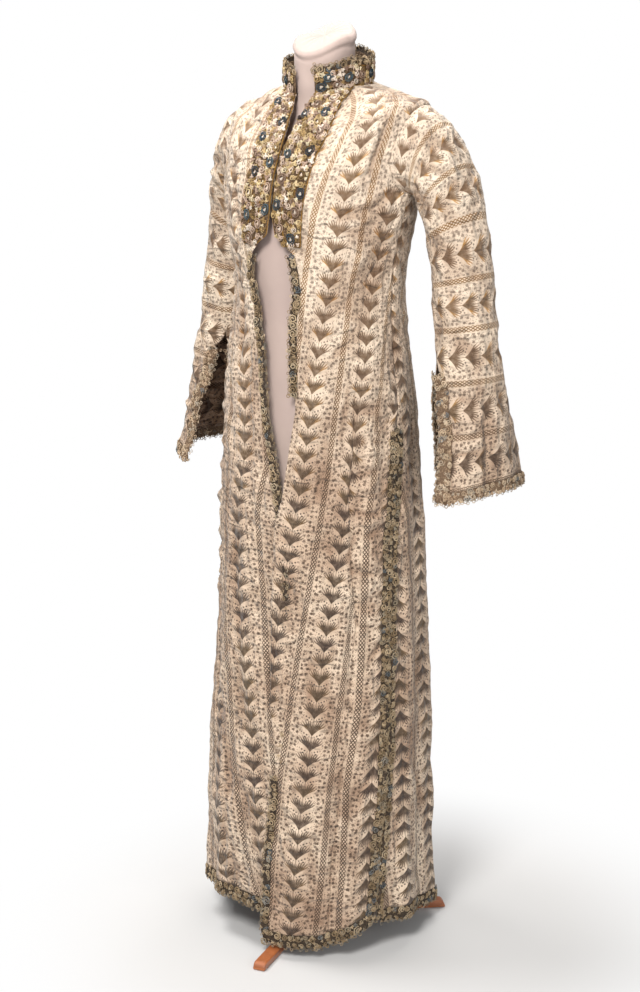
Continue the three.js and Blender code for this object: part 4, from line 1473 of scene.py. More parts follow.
def calico_material(name):
    material, root, shader = new_material(name, Roughness=0.85, Sheen_Weight=0.1)
    place = root.object_place()
    blotch = root.noise(place, 6.0, 3.0).step(0.25, 0.75)
    height = root.noise(place, 900.0, 1.0) * 0.2 + root.noise(place, 24.0, 3.0) * 1.2
    feed(root, shader, Base_Color=blotch.blend(tone("calico"), colour(184, 165, 156)),
         Normal=bump(root, height, distance=0.0012, strength=0.6))
    return material


def wood_material(name):
    material, root, shader = new_material(name, Roughness=0.4, Coat_Weight=0.3)
    place = root.object_place()
    grain = root.waves(place, 26.0, "Z", 6.0, 3.0)
    fleck = root.noise(place, 240.0, 3.0)
    wood = (grain * 0.7 + fleck * 0.3).blend(tone("wood"), colour(132, 78, 48))
    feed(root, shader, Base_Color=wood, Roughness=0.34 + fleck * 0.2,
         Normal=bump(root, grain + fleck * 0.4, distance=0.0004, strength=0.5))
    return material


def steel_material(name):
    material, root, shader = new_material(name, Metallic=1.0)
    drawn = {0: root.object_place(), 3: (900.0, 900.0, 14.0)}
    brushed = root.noise(root.make("ShaderNodeMapping", None, drawn), 1.0, 3.0)
    steel = brushed.blend(colour(140, 140, 138), colour(188, 188, 184))
    feed(root, shader, Base_Color=steel, Roughness=0.26 + brushed * 0.22,
         Normal=bump(root, brushed, distance=0.0002, strength=0.5))
    return material


def finish_of(maker, name, *settings):
    """A finish is made once and shared by the pieces that have it."""
    return bpy.data.materials.get(name) or maker(name, *settings)


def printed_cloth():
    """The cloth's right side and its reverse, darkened by painted shade."""
    return [finish_of(cloth_material, "printed_cloth"),
            finish_of(cloth_material, "cloth_reverse", REVERSE_SHADE_SHARE)]


def lace_finishes(net, thread):
    """A lace's ground and its thread."""
    return [finish_of(ground_material, net), finish_of(thread_material, thread)]


# ------------------------------------------------------------------ cords and stamps


def cord_mesh(name, paths, radius, closed=False):
    """A mesh of cords along lists of points, in metres."""
    data = bpy.data.curves.new(name, "CURVE")
    data.dimensions = "3D"
    data.bevel_depth = radius
    data.bevel_resolution = 0
    data.use_fill_caps = not closed
    for path in paths:
        spline = data.splines.new("POLY")
        spline.points.add(len(path) - 1)
        for seat, point in zip(spline.points, path):
            seat.co = (*point, 1)
        spline.use_cyclic_u = closed
    holder = bpy.data.objects.new(name, data)
    mesh = bpy.data.meshes.new_from_object(holder)
    bpy.data.objects.remove(holder)
    bpy.data.curves.remove(data)
    mesh.materials.clear()
    return mesh


def add_mesh(bm, mesh, *matrices):
    """Adds a copy of a mesh at each matrix and drops the mesh."""
    for matrix in matrices:
        copy = mesh.copy()
        copy.transform(matrix)
        bm.from_mesh(copy)
        bpy.data.meshes.remove(copy)
    bpy.data.meshes.remove(mesh)


def piping_piece(name, paths):
    """Gold cord along lists of points in millimetres."""
    bm = bmesh.new()
    lines = [in_frame(path) for path in paths]
    add_mesh(bm, cord_mesh(name, lines, robe_sizes().piping_radius), Matrix())
    piece = finished(name, bm, [finish_of(thread_material, "gold_piping")])
    return piece


def spiral(turns, start, end, count, height, lean):
    """Points of a flat spiral in millimetres that rises to its middle, as metres."""
    share = np.linspace(0, 1, count)
    angle = share * turns * 2 * math.pi
    radius = start + (end - start) * share
    points = [radius * np.cos(angle) * lean, radius * np.sin(angle), height * (1 - share)]
    return np.stack(points, -1) * MM


def knot_path(size, count):
    """A closed three-lobed knot, in metres."""
    angle = np.linspace(0, 2 * math.pi, count, endpoint=False)
    x = np.sin(angle) + 1.5 * np.sin(2 * angle)
    y = np.cos(angle) - 1.5 * np.cos(2 * angle)
    return np.stack([x, y, 0.75 * np.sin(3 * angle) + 0.4], -1) * size * MM / 2.5


def ring_path(radius, count):
    """A closed ring, in metres."""
    angle = np.linspace(0, 2 * math.pi, count, endpoint=False)
    return np.stack([radius * np.cos(angle), radius * np.sin(angle), 0 * angle], -1) * MM


def trim_stamps():
    """The small shapes that the lace and the embroidery are laid from."""
    paths = {name: spiral(*coil) for name, coil in COILS.items()}
    paths["knot"] = knot_path(KNOT_SIZE, 10)
    paths["picot"] = ring_path(PICOT_RADIUS, 6)
    return {
        name: cord_mesh(name, [path], CORD_RADII[name], name not in COILS)
        for name, path in paths.items()
    }


def seat_at(point, along, normal, spin=0.0, size=1.0, lift=0.0):
    """Matrix that lays a stamp on a surface, in metres."""
    normal = Vector(normal).normalized()
    along = Vector(along)
    along = (along - normal * along.dot(normal)).normalized()
    aside = normal.cross(along)
    place = Matrix((along, aside, normal)).transposed().to_4x4()
    place.translation = Vector(point) + normal * lift
    return place @ Matrix.Rotation(spin, 4, "Z") @ Matrix.Scale(size, 4)


def stamped(name, seats, materials):
    """One mesh of stamps: which stamp, its matrix, its tint and its material's number."""
    stamps = trim_stamps()
    for mesh in stamps.values():
        mesh.attributes.new("tint", "FLOAT", "POINT")
    bm = bmesh.new()
    bm.verts.layers.float.new("tint")
    for which, seat, tint, finish in seats:
        mesh = stamps[which]
        count = len(mesh.vertices)
        mesh.attributes["tint"].data.foreach_set("value", [tint] * count)
        mesh.polygons.foreach_set("material_index", [finish] * len(mesh.polygons))
        mesh.transform(seat)
        bm.from_mesh(mesh)
        mesh.transform(seat.inverted())
    for mesh in stamps.values():
        bpy.data.meshes.remove(mesh)
    piece = finished(name, bm, materials)
    return piece


# ------------------------------------------------------------------ lace


def unit(vectors):
    """Vectors at a length of 1."""
    return vectors / np.maximum(np.linalg.norm(vectors, axis=-1, keepdims=True), 1e-9)


def edge_run(side, turn_of, inward, levels, width, lap):
    """Stations up a panel's edge: point, outward normal and reach of the lace, in mm."""
    turn = turn_of(levels) + inward * lap / MEAN_TURN_LENGTH
    normal = body_normal(side, turn, levels)
    point = relief(side, turn, levels) + normal * lap / 4
    off = unit(body_point(side, turn, levels) - body_point(side, turn + inward, levels))
    return point, normal, off * (width + lap)


def hem_run(side, first, last, count=60):
    """The same stations round a hem, between two turns."""
    turn = np.linspace(first, last, count)
    level = np.zeros(count)
    above = body_point(side, turn, level + 0.35)
    off = unit(body_point(side, turn, level) - above)
    return relief(side, turn, level), body_normal(side, turn, level), off * HEM_LACE_WIDTH


def sleeve_run(side, us, vs, beside, width):
    """The same stations along a sleeve's slit or cuff."""
    raised = sleeve_relief(us, vs, side) + sleeve_normal(us, vs, side) * SLEEVE_LACE_STAND
    inner = sleeve_place(us + beside[0], vs + beside[1], side)[0]
    off = unit(sleeve_place(us, vs, side)[0] - inner)
    normal = sleeve_normal(np.clip(us, 0.01, 0.99), vs, side)
    return raised, normal, off * width


def joined(*runs):
    """Runs joined in order with a station at each corner."""
    points, normals, reaches = [], [], []
    for point, normal, reach in runs:
        if points:
            points.append(points[-1])
            normals.append(unit(normals[-1] + normal[0]))
            reaches.append((reaches[-1] + reach[0]) * 0.9)
        points.extend(point)
        normals.extend(normal)
        reaches.extend(reach)
    return [np.array(part) for part in (points, normals, reaches)]


def walk(run, step):
    """Stations at even steps along the lace's middle line, with the length walked."""
    point, normal, reach = run
    length = path_lengths(point + reach / 2)
    length += np.arange(len(length)) * 1e-6
    at = np.linspace(0, length[-1], max(int(length[-1] / step), 2) + 1)
    rows = [np.stack([np.interp(at, length, part[:, k]) for k in range(3)], -1)
            for part in (point, normal, reach)]
    return rows[0], unit(rows[1]), rows[2], at


def lace_net(node, run, pitch, seed, finish):
    """Scalloped net ground that ruffles towards its free edge."""
    point, normal, reach, at = walk(run, pitch / 4)
    scallop = 0.86 + 0.12 * np.cos(at / pitch * 2 * math.pi)
    broad = float(np.linalg.norm(reach, axis=1).max())
    ruffle = 1.8 + max(broad - BROAD_LACE, 0) * 0.36
    sway = np.array([abs(noise.noise(Vector((a / 21, seed, 0.3)))) for a in at]) * ruffle

    def place(u, v):
        k = np.rint(u * (len(at) - 1)).astype(int)
        across = reach[k] * (v * scallop[k])[..., None]
        bulge = (np.sin(v * math.pi) * 0.8 + v * sway[k])[..., None]
        return point[k] + across + normal[k] * bulge

    bm = grid_mesh(len(at) - 1, 4, place)
    bm.normal_update()
    half = len(at) // 2
    outward, middle = Vector(normal[half]), Vector(in_frame(point[half]))
    near = [f for f in bm.faces if (f.calc_center_median() - middle).length < 0.03]
    if sum(f.normal.dot(outward) for f in near) < 0:
        bmesh.ops.reverse_faces(bm, faces=bm.faces)
    net = finished(f"{node}_net", bm, [finish], [node])
    return thicken(net, NET_WALL), float(at[-1]) * MM


def lace_seats(run, pitch, rng):
    """Rosettes and scrolls in one or two rows, each with two knots near it."""
    seats = []
    point, normal, reach, _ = walk(run, pitch)
    along = np.gradient(point + reach / 2, axis=0)
    for k in range(len(point)):
        is_broad = np.linalg.norm(reach[k]) > BROAD_LACE
        for row in BROAD_ROWS if is_broad else NARROW_ROWS:
            which = "rosette" if rng.random() < ROSETTE_CHANCE else "scroll"
            size = (BROAD_SIZE if is_broad else NARROW_SIZE) * rng.uniform(0.74, 1.26)
            spot = point[k] + reach[k] * (row + rng.uniform(-0.08, 0.08))
            spot = spot + along[k] * rng.uniform(-0.22, 0.22)
            if is_broad and row > 0.5:
                spot = spot + along[k] * 0.5
            tint = rng.uniform(0.2, 0.62) if rng.random() < 0.9 else rng.uniform(0.8, 0.9)
            spin = rng.uniform(*ANY_SPIN)
            seat = seat_at(in_frame(spot), along[k], normal[k], spin, size, LACE_COIL_LIFT)
            seats.append((which, seat, tint, 0))
            lift = rng.uniform(0.0006, 0.0012) + 0.0008
            for _ in range(2):
                spot = point[k] + reach[k] * rng.uniform(0.05, 0.92)
                spot = spot + along[k] * rng.uniform(-0.5, 0.5)
                spin, size = rng.uniform(*ANY_SPIN), rng.uniform(0.7, 1.2)
                seat = seat_at(in_frame(spot), along[k], normal[k], spin, size, lift)
                seats.append(("knot", seat, rng.uniform(0.15, 0.66), 0))
    return seats


def picot_seats(run, pitch, rng):
    """Small rings along the lace's scalloped free edge."""
    seats = []
    point, normal, reach, at = walk(run, PICOT_STEP)
    along = np.gradient(point + reach, axis=0)
    for k in range(len(at)):
        wave = 0.97 + 0.10 * math.cos(at[k] / pitch * 2 * math.pi)
        spot = in_frame(point[k] + reach[k] * wave * rng.uniform(0.96, 1.05))
        spin, size = rng.uniform(-0.5, 0.5), rng.uniform(0.85, 1.25)
        lift = rng.uniform(-0.0004, 0.0009)
        seat = seat_at(spot, along[k], normal[k], spin, size, lift)
        tipped = seat @ Matrix.Rotation(rng.uniform(-0.6, 0.6), 4, "X")
        seats.append(("picot", tipped, rng.uniform(0.2, 0.7), 0))
    return seats


def lace_piece(node, run, finishes, seed):
    """Net ground, coiled rosettes laid on it and picots along its free edge."""
    rng = random.Random(seed)
    pitch = robe_sizes().rosette_pitch / MM
    net, length = lace_net(node, run, pitch, seed, finishes[0])
    seats = lace_seats(run, pitch, rng) + picot_seats(run, pitch, rng)
    coils = stamped(f"{node}_coils", seats, [finishes[1]])
    width = max(float(np.linalg.norm(run[2], axis=1).max()) * MM, LEAST_WIDTH)
    area = area_of(net)
    max(length, area / width) * LACE_SLACK


# ------------------------------------------------------------------ collar and bibs


def collar_place(turn, height):
    """Points of the collar, and its outward normals, in millimetres."""
    base = hoop_point(ROBE_HOOPS, turn, np.full(np.shape(turn), float(TOP_LEVEL)))
    rise = height / COLLAR_HEIGHT
    flare = 1 + COLLAR_FLARE * height + 0.025 * rise * np.sin(4 * turn * DEGREE + 1)
    lifted = base[..., 2] + height + 1.8 * rise * np.sin(7 * turn * DEGREE)
    point = np.stack([base[..., 0] * flare, base[..., 1] * flare, lifted], -1)
    half, front = ROBE_HOOPS[-1][:2]
    normal = np.stack([base[..., 0] / half, base[..., 1] / front, 0 * height], -1)
    return point, unit(normal)


def collar_span():
    """Turns at the collar's two ends."""
    left = float(edge_turn("left", TOP_LEVEL))
    return left, 360 + float(edge_turn("right", TOP_LEVEL))


def embroidered_ground(node, grid, place, wall):
    """Stiff ground that coils are laid on, darkened in part as painted shade of the gaps between
    them.
    """
    bm = grid_mesh(*grid, place)
    finish = finish_of(ground_material, "embroidery_ground")
    piece = finished(f"{node}_cloth", bm, [finish], [node])
    return thicken(piece, wall)


def bib_turn(side, share, level):
    """Turn at a share of the way from a bib's inner edge to its outer one."""
    turn = edge_turn(side, level)
    return turn + (value_at(BIB["level"], BIB[side], level) - turn) * share


def bib_spot(side, share, level, stand=BIB_STAND):
    """Points that stand off a bib's place on its front, in millimetres."""
    turn = bib_turn(side, share, level)
    return body_point(side, turn, level) + body_normal(side, turn, level) * stand


def crowd(width, length, pitch, rng, keep, jitter=0.22):
    """Spots of a close, uneven packing on a strip of cloth."""
    spots_and_painted_shade = []
    rows = max(int(length / (pitch * 0.87)), 1)
    for i in range(rows + 1):
        wide = width(i / rows)
        count = max(int(round(wide / pitch)), 1)
        for j in range(count):
            x = (j + 0.5 + (0.25 if i % 2 else -0.25)) / count
            x = x + rng.uniform(-1, 1) * jitter / count
            y = i / rows + rng.uniform(-1, 1) * jitter * pitch / length
            x, y = min(max(x, 0.06), 0.94), min(max(y, 0.01), 0.99)
            if keep(x * wide, y * length):
                spots_and_painted_shade.append((x, y))
    return spots_and_painted_shade


def coil_seats(place, main, width, length, rng, pitches):
    """Main coils where they are given, then lesser coils and knots between them."""
    seats, held = [], []

    def free(x, y):
        return all(math.hypot(x - a, y - b) > r for a, b, r in held)

    for x, y, finish in main:
        held.append((x * width(y), y * length, MAIN_COIL_ROOM))
        spot = place(x, y)
        spin = rng.uniform(-0.6, 0.6) + math.pi / 2
        seat = seat_at(*spot, spin, rng.uniform(1.12, 1.3), MAIN_COIL_LIFT)
        seats.append(("oval", seat, rng.uniform(0.1, 0.75), finish))
        seat = seat_at(*spot, spin, 1.0, MAIN_KNOT_LIFT)
        seats.append(("knot", seat, rng.uniform(0.7, 1.0), ROSE))
    for x, y in crowd(width, length, pitches[0], rng, free):
        held.append((x * width(y), y * length, LESSER_COIL_ROOM))
        kind = rng.random()
        which = "scroll" if kind < 0.55 else "knot" if kind < 0.8 else "rosette"
        finish = GOLD if rng.random() < 0.5 else ROSE
        size = LESSER_SIZES[which] * rng.uniform(0.85, 1.15)
        seat = seat_at(*place(x, y), rng.uniform(*ANY_SPIN), size, LESSER_COIL_LIFT)
        seats.append((which, seat, rng.uniform(0.05, 0.95), finish))
    for x, y in crowd(width, length, pitches[1], rng, free, 0.35):
        finish = GOLD if rng.random() < 0.6 else ROSE
        spin, size = rng.uniform(*ANY_SPIN), rng.uniform(0.95, 1.3)
        seat = seat_at(*place(x, y), spin, size, LESSER_KNOT_LIFT)
        seats.append(("knot", seat, rng.uniform(0.1, 1.0), finish))
    return seats


def embroider(node, seats, paths):
    """Coils and piping laid on a ground."""
    coils = [finish_of(thread_material, name) for name in COIL_THREADS]
    work = stamped(f"{node}_coils", seats, coils)
    edging = piping_piece(PIPING_NAMES[node], paths)


def bib_pieces(side):
    """An embroidered bib from the front's edge outwards, with its coils and piping."""
    rng = random.Random(BIB_SEEDS[side])
    low, high = BIB_BOTTOM_LEVEL, BIB_TOP_LEVEL

    def level_at(v):
        return low + (high - low) * v

    def place(u, v):
        return bib_spot(side, u if side == "left" else 1 - u, level_at(v))

    def width(v):
        level = np.array([level_at(v)])
        inner, outer = (bib_spot(side, share, level)[0] for share in (0, 1))
        return float(np.linalg.norm(inner - outer))

    def spot(x, y):
        level = np.array([level_at(y)])
        point = bib_spot(side, x, level)[0]
        along = bib_spot(side, x, level + 0.05)[0] - point
        return in_frame(point), along, body_normal(side, bib_turn(side, x, level), level)[0]

    bib = embroidered_ground(f"bib_{side}", BIB_GRID, place, robe_sizes().embroidery_wall)
    length = float(path_lengths(bib_spot(side, 0.5, np.linspace(low, high, 60)))[-1])
    main = []
    for level, turn, finish in BIB_COILS[side]:
        inner, outer = (float(bib_turn(side, share, level)) for share in (0, 1))
        x = min(max((turn - inner) / (outer - inner), 0.12), 0.88)
        main.append((x, (level - low) / (high - low), finish))
    seats = coil_seats(spot, main, width, length, rng, BIB_PITCHES)

    levels = np.linspace(low + 0.02, high, 90)
    foot = bib_spot(side, np.linspace(0.05, 1, 12), np.full(12, low + 0.02))
    paths = [np.concatenate([foot, bib_spot(side, 1.0, levels)]), bib_spot(side, 0.0, levels)]
    paths += [bib_spot(side, share, levels, BIB_PIPING_STAND) for share in (0.34, 0.67)]
    embroider(f"bib_{side}", seats, paths)


def collar_pieces():
    """The stand collar with its coils and the piping along both its edges."""
    rng = random.Random(COLLAR_SEED)
    first, last = collar_span()

    def place(u, v):
        height = v * (COLLAR_HEIGHT + 1.2) + 0.6
        point, normal = collar_place(first + (last - first) * u, height)
        return point + normal

    def spot(x, y):
        turn = np.array([first + (last - first) * y])
        height = np.array([x * COLLAR_HEIGHT])
        point, normal = collar_place(turn, height)
        along = collar_place(turn + 1, height)[0] - point
        return in_frame(point[0] + normal[0] * 2.0), along[0], normal[0]

    collar = embroidered_ground("collar", COLLAR_GRID, place, COLLAR_WALL)
    turns = np.linspace(first, last, 200)
    middle = collar_place(turns, np.full(200, COLLAR_HEIGHT / 2))[0]
    length = float(path_lengths(middle)[-1])
    main = [(x, (turn - first) / (last - first), finish) for x, turn, finish in COLLAR_COILS]
    seats = coil_seats(spot, main, lambda v: COLLAR_HEIGHT, length, rng, COLLAR_PITCHES)
    paths = []
    for height, stand in ((0.5, 2.4), (COLLAR_HEIGHT - 0.5, 1.6)):
        point, normal = collar_place(turns, np.full(200, height))
        paths.append(point + normal * stand)
    height = COLLAR_HEIGHT * MM
    embroider("collar", seats, paths)


def button_piece():
    """Knot button of doubled cord over a small ball, with its loop."""
    turn = np.array([float(edge_turn("left", BUTTON_LEVEL)) + 2])
    level = np.array([BUTTON_LEVEL])
    normal = body_normal("left", turn, level)[0]
    middle = body_point("left", turn, level)[0] + normal * BUTTON_STAND
    seat = seat_at(in_frame(middle), (0, 0, 1), normal)
    bm = bmesh.new()
    bmesh.ops.create_uvsphere(bm, u_segments=20, v_segments=12, radius=BUTTON_BALL_RADIUS,
                              matrix=seat)
    sunk = Matrix.Translation((0, 0, -0.0008))
    turns = [Matrix.Rotation(angle * DEGREE, 4, axis) for angle, axis in BUTTON_TURNS]
    knot = cord_mesh("knot", [knot_path(BUTTON_KNOT_SIZE, 48)], BUTTON_CORD_RADIUS, True)
    add_mesh(bm, knot, *(seat @ turned @ sunk for turned in turns))
    loop = cord_mesh("loop", [ring_path(BUTTON_LOOP_RADIUS, 24)], LOOP_CORD_RADIUS, True)
    add_mesh(bm, loop, seat @ Matrix.Translation((-0.003, 0, -0.003)))
    finish = finish_of(thread_material, "dark_cord")
    piece = finished("button_knot_cord", bm, [finish], ["button_knot"])


# ------------------------------------------------------------------ form and stand


def form_place(u, v):
    """Torso and neck, then the gathered cap that closes the neck, all round."""
    turn = 360 * u
    top = len(FORM_HOOPS) - 1
    level = np.clip(v / CAP_SHARE, 0, 1) * top
    cap = np.clip((v - CAP_SHARE) / (1 - CAP_SHARE), 0, 1)
    point = hoop_point(FORM_HOOPS, turn, level)
    ends = hoop_point(FORM_HOOPS, np.array([0.0, 180.0]), np.array([float(top)] * 2))
    centre = ends.mean(axis=0)
    point = point + (centre - point) * cap[..., None]
    gathers = np.sin(turn * DEGREE * CAP_GATHERS + 1.3 * np.sin(turn * DEGREE * 3)) * 0.55
    point[..., 2] += cap * (1 - cap) * 10 - 2.5 * cap ** 6
    point[..., 2] += gathers * np.sin(cap * math.pi) * 1.2
    groove, roll, tuck = (
        tall * np.exp(-(((level - place) / width) ** 2)) for place, width, tall in NECK_BANDS
    )
    soft = crumple(point, 60, 1.0, 3) + crumple(point, 16, 0.4, 5)
    out = unit(point - np.stack([0 * level, FORM_AXIS + 0 * level, point[..., 2]], -1))
    height = roll - groove + soft + gathers * tuck
    return point + out * height[..., None] * (1 - cap[..., None])


def form_piece():
    """The dress form's calico cover, closed underneath."""
    bm = grid_mesh(*FORM_GRID, form_place)
    bmesh.ops.remove_doubles(bm, verts=bm.verts, dist=MERGE_GAP)
    base = [e for e in bm.edges if e.is_boundary]
    bmesh.ops.holes_fill(bm, edges=base, sides=0)
    bmesh.ops.recalc_face_normals(bm, faces=bm.faces)
    finish = finish_of(calico_material, "form_calico")
    piece = finished("dress_form_cover", bm, [finish], ["dress_form"])


def bow(points, start, first, second, end, count=10):
    """Adds a smooth curve to an outline."""
    for k in range(1, count + 1):
        t = k / count
        a, b, c, d = (1 - t) ** 3, 3 * t * (1 - t) ** 2, 3 * t * t * (1 - t), t ** 3
        points.append(tuple(a * s + b * f + c * g + d * e
                            for s, f, g, e in zip(start, first, second, end)))


def leg_outline():
    """A low bowed leg in its upright plane: out from the hub, from top to underside."""
    top, inner = HUB_BOTTOM + 52, HUB_RADIUS + 0.3
    outline = [(inner, HUB_BOTTOM + 8), (inner, top)]
    bow(outline, outline[-1], (70, top - 8), (92, LEG_THICKNESS + 4), (140, LEG_THICKNESS))
    outline.append((LEG_REACH - 10, LEG_THICKNESS))
    bow(outline, outline[-1], (LEG_REACH - 4, LEG_THICKNESS), (LEG_REACH, 5), (LEG_REACH, 0), 5)
    outline.append((120, 0))
    bow(outline, (120, 0), (84, 2), (60, HUB_BOTTOM - 8), outline[0])
    return outline[:-1]


def leg_piece(index, finish):
    """A leg, drawn in its upright plane and rounded along its edges."""
    bm = bmesh.new()
    verts = [bm.verts.new((x * MM, -LEG_WIDTH / 2 * MM, z * MM)) for x, z in leg_outline()]
    face = bm.faces.new(verts)
    made = bmesh.ops.extrude_face_region(bm, geom=[face])["geom"]
    far = [v for v in made if isinstance(v, bmesh.types.BMVert)]
    bmesh.ops.translate(bm, verts=far, vec=(0, LEG_WIDTH * MM, 0))
    bmesh.ops.recalc_face_normals(bm, faces=bm.faces)
    rims = [e for e in bm.edges if e.calc_face_angle(0) > 1.2]
    bmesh.ops.bevel(bm, geom=rims, offset=LEG_ROUNDING, offset_type="OFFSET", segments=3,
                    profile=0.5, affect="EDGES", material=-1)
    angle = (LEG_FIRST_TURN - 90 + 120 * index) * DEGREE
    bmesh.ops.rotate(bm, verts=bm.verts, cent=(0, 0, 0), matrix=Matrix.Rotation(angle, 3, "Z"))
    shift = Vector(in_frame(np.array([*POLE_PLACE, 0.0])))
    bmesh.ops.translate(bm, verts=bm.verts, vec=shift)
    piece = finished(f"leg_{index + 1}_wood", bm, [finish], [f"leg_{index + 1}"], smooth=False)


def give_finish(node, finish):
    """A CAD node keeps its own shape and takes a better finish."""
    for piece in bpy.data.objects:
        if piece.get("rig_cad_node") == node or piece.name == node:
            for slot in piece.material_slots:
                slot.material = finish


# ------------------------------------------------------------------ stage


def make_camera():
    """Camera at the stage's front left, level with the chest."""
    data = bpy.data.cameras.new("camera")
    data.lens = CAMERA_LENS
    data.sensor_width = 36
    data.clip_end = 60
    camera = bpy.data.objects.new("camera", data)
    bpy.context.scene.collection.objects.link(camera)
    camera.location = in_frame(np.array(CAMERA_PLACE))
    turn = (90 - CAMERA_PITCH, 0, CAMERA_AZIMUTH + CAMERA_YAW)
    camera.rotation_euler = [angle * DEGREE for angle in turn]
    bpy.context.scene.camera = camera


def make_light(name, place, aim, size, power, shade):
    data = bpy.data.lights.new(name, "AREA")
    data.shape = "DISK"
    data.size = size
    data.energy = power
    data.color = shade
    light = bpy.data.objects.new(name, data)
    bpy.context.scene.collection.objects.link(light)
    light.location = place
    light.rotation_mode = "QUATERNION"
    light.rotation_quaternion = (Vector(aim) - Vector(place)).to_track_quat("-Z", "Y")


def floor_material():
    """Pale floor that brightens away from the object until no horizon shows."""
    material, root, shader = new_material(
        "pale_floor", Roughness=0.9, Specular_IOR_Level=0.1, Base_Color=FLOOR_TONE,
        Emission_Color=WHITE, Emission_Strength=0.02)
    place = root.object_place()
    x, y, _ = root.parts(place)
    away = (x - FADE_PLACE[0]).length(y - FADE_PLACE[1]) + root.noise(place, 3.0, 1.0) * 0.05
    share = away.step(*FADE_REACH) * root.make("ShaderNodeLightPath", out=0)
    bright = root.make("ShaderNodeEmission", None, {"Color": WHITE, "Strength": 1.0})
    sockets = {0: share, 1: Link(root.tree, shader.outputs[0]), 2: bright}
    surface = root.make("ShaderNodeMixShader", None, sockets)
    feed(root, root.tree.nodes["Material Output"], Surface=surface)
    return material


def make_sky():
    """Even pale surroundings, white to the camera and softer as a light."""
    world = bpy.data.worlds.new("studio")
    bpy.context.scene.world = world
    world.use_nodes = True
    root = Link(world.node_tree)
    soft, white = (
        root.make("ShaderNodeBackground", None, {"Color": WHITE, "Strength": strength})
        for strength in (0.27, 1.0)
    )
    seen = root.make("ShaderNodeLightPath", out=0)
    surface = root.make("ShaderNodeMixShader", None, {0: seen, 1: soft, 2: white})
    feed(root, root.tree.nodes["World Output"], Surface=surface)


def make_stage():
    bm = bmesh.new()
    bmesh.ops.create_grid(bm, x_segments=2, y_segments=2, size=20)
    bmesh.ops.translate(bm, verts=bm.verts, vec=(0, 0, -0.0005))
    mesh = bpy.data.meshes.new("floor")
    bm.to_mesh(mesh)
    bm.free()
    floor = bpy.data.objects.new("floor", mesh)
    bpy.context.scene.collection.objects.link(floor)
    mesh.materials.append(floor_material())
    make_sky()
    for name, lamp in LAMPS.items():
        make_light(name, *lamp)
    bpy.context.scene.view_settings.view_transform = "Standard"


# ------------------------------------------------------------------ what a user would change

def length_of(name, description, default, low, high):
    return bpy.props.FloatProperty(name=name, description=description, default=default,
                                   min=low, max=high, unit="LENGTH", precision=4)


def tone_of(name, description, *shade):
    return bpy.props.FloatVectorProperty(name=name, description=description, size=3, min=0,
                                         max=1, default=colour(*shade)[:3], subtype="COLOR")


class RobeSizes(bpy.types.PropertyGroup):
    cloth_wall: length_of("Cloth", "Thickness of the printed cloth", 0.0014, 0.0005, 0.003)
    embroidery_wall: length_of("Embroidery", "Thickness of the bibs' ground", 0.0016, 0.0008, 0.003)
    rosette_pitch: length_of("Rosettes", "Step from rosette to rosette", 0.0125, 0.008, 0.02)
    piping_radius: length_of("Piping", "Radius of the gold piping", 0.0011, 0.0005, 0.002)
    crease_strength: bpy.props.FloatProperty(
        name="Creases", description="Depth of the small creases", default=1.0, min=0, max=2,
        subtype="FACTOR")


class RobeColours(bpy.types.PropertyGroup):
    pale: tone_of("Pale ground", "The ground high on the robe", 226, 211, 192)
    ground: tone_of("Ground", "The cloth's main ground colour", 215, 195, 172)
    shade: tone_of("Ground in shade", "The cloth's second ground colour", 190, 165, 142)
    # Stain tone: aged stains of the ground, and painted shade of its small crumples.
    stain_and_painted_shade: tone_of("Stain", "Aged patches of the ground", 150, 122, 100)
    tan: tone_of("Tan leaf", "Faded leaves high on the robe", 138, 106, 74)
    brown: tone_of("Brown leaf", "Darker leaves", 52, 35, 26)
    olive: tone_of("Olive leaf", "Lighter leaves", 72, 55, 31)
    ochre: tone_of("Ochre leaf", "Golden leaves high on the robe", 168, 122, 54)
    dark: tone_of("Line", "Dots and lattice lines", 52, 36, 26)
    sprig: tone_of("Sprig", "Small sprigs beside the lattice", 84, 66, 52)
    calico: tone_of("Calico", "Cover of the dress form", 172, 153, 147)
    wood: tone_of("Wood", "Varnished wood of the legs", 166, 98, 58)


def robe_sizes():
    return bpy.context.scene.robe_sizes


def gore_end(level):
    """Turn of a gore's edge at the side seam, which the slit parts below."""
    return side_turn(level) - slit_half(level)


def front_edges(side):
    """The turns of a front's two edges by level, in the order that they run."""
    if side == "left":
        return lambda level: (edge_turn("left", level), front_outer_turn(level))
    return lambda level: (-front_outer_turn(level), edge_turn("right", level))


def gore_edges(side):
    """The turns of a gore's two edges by level."""
    if side == "left":
        return lambda level: (gore_turn(level), gore_end(level))
    return lambda level: (-gore_end(level), -gore_turn(level))


def back_edges(level):
    """The turns of the back's two edges."""
    return back_outer_turn(level), 360 - back_outer_turn(level)


def neck_lace_run():
    """Stations round the collar's top."""
    turns = np.linspace(*collar_span(), 160)
    point, normal = collar_place(turns, np.full(160, COLLAR_HEIGHT + 0.5))
    above = collar_place(turns, np.full(160, COLLAR_HEIGHT + 1.5))[0]
    return point + normal, normal, unit(above - point) * NECK_LACE_WIDTH


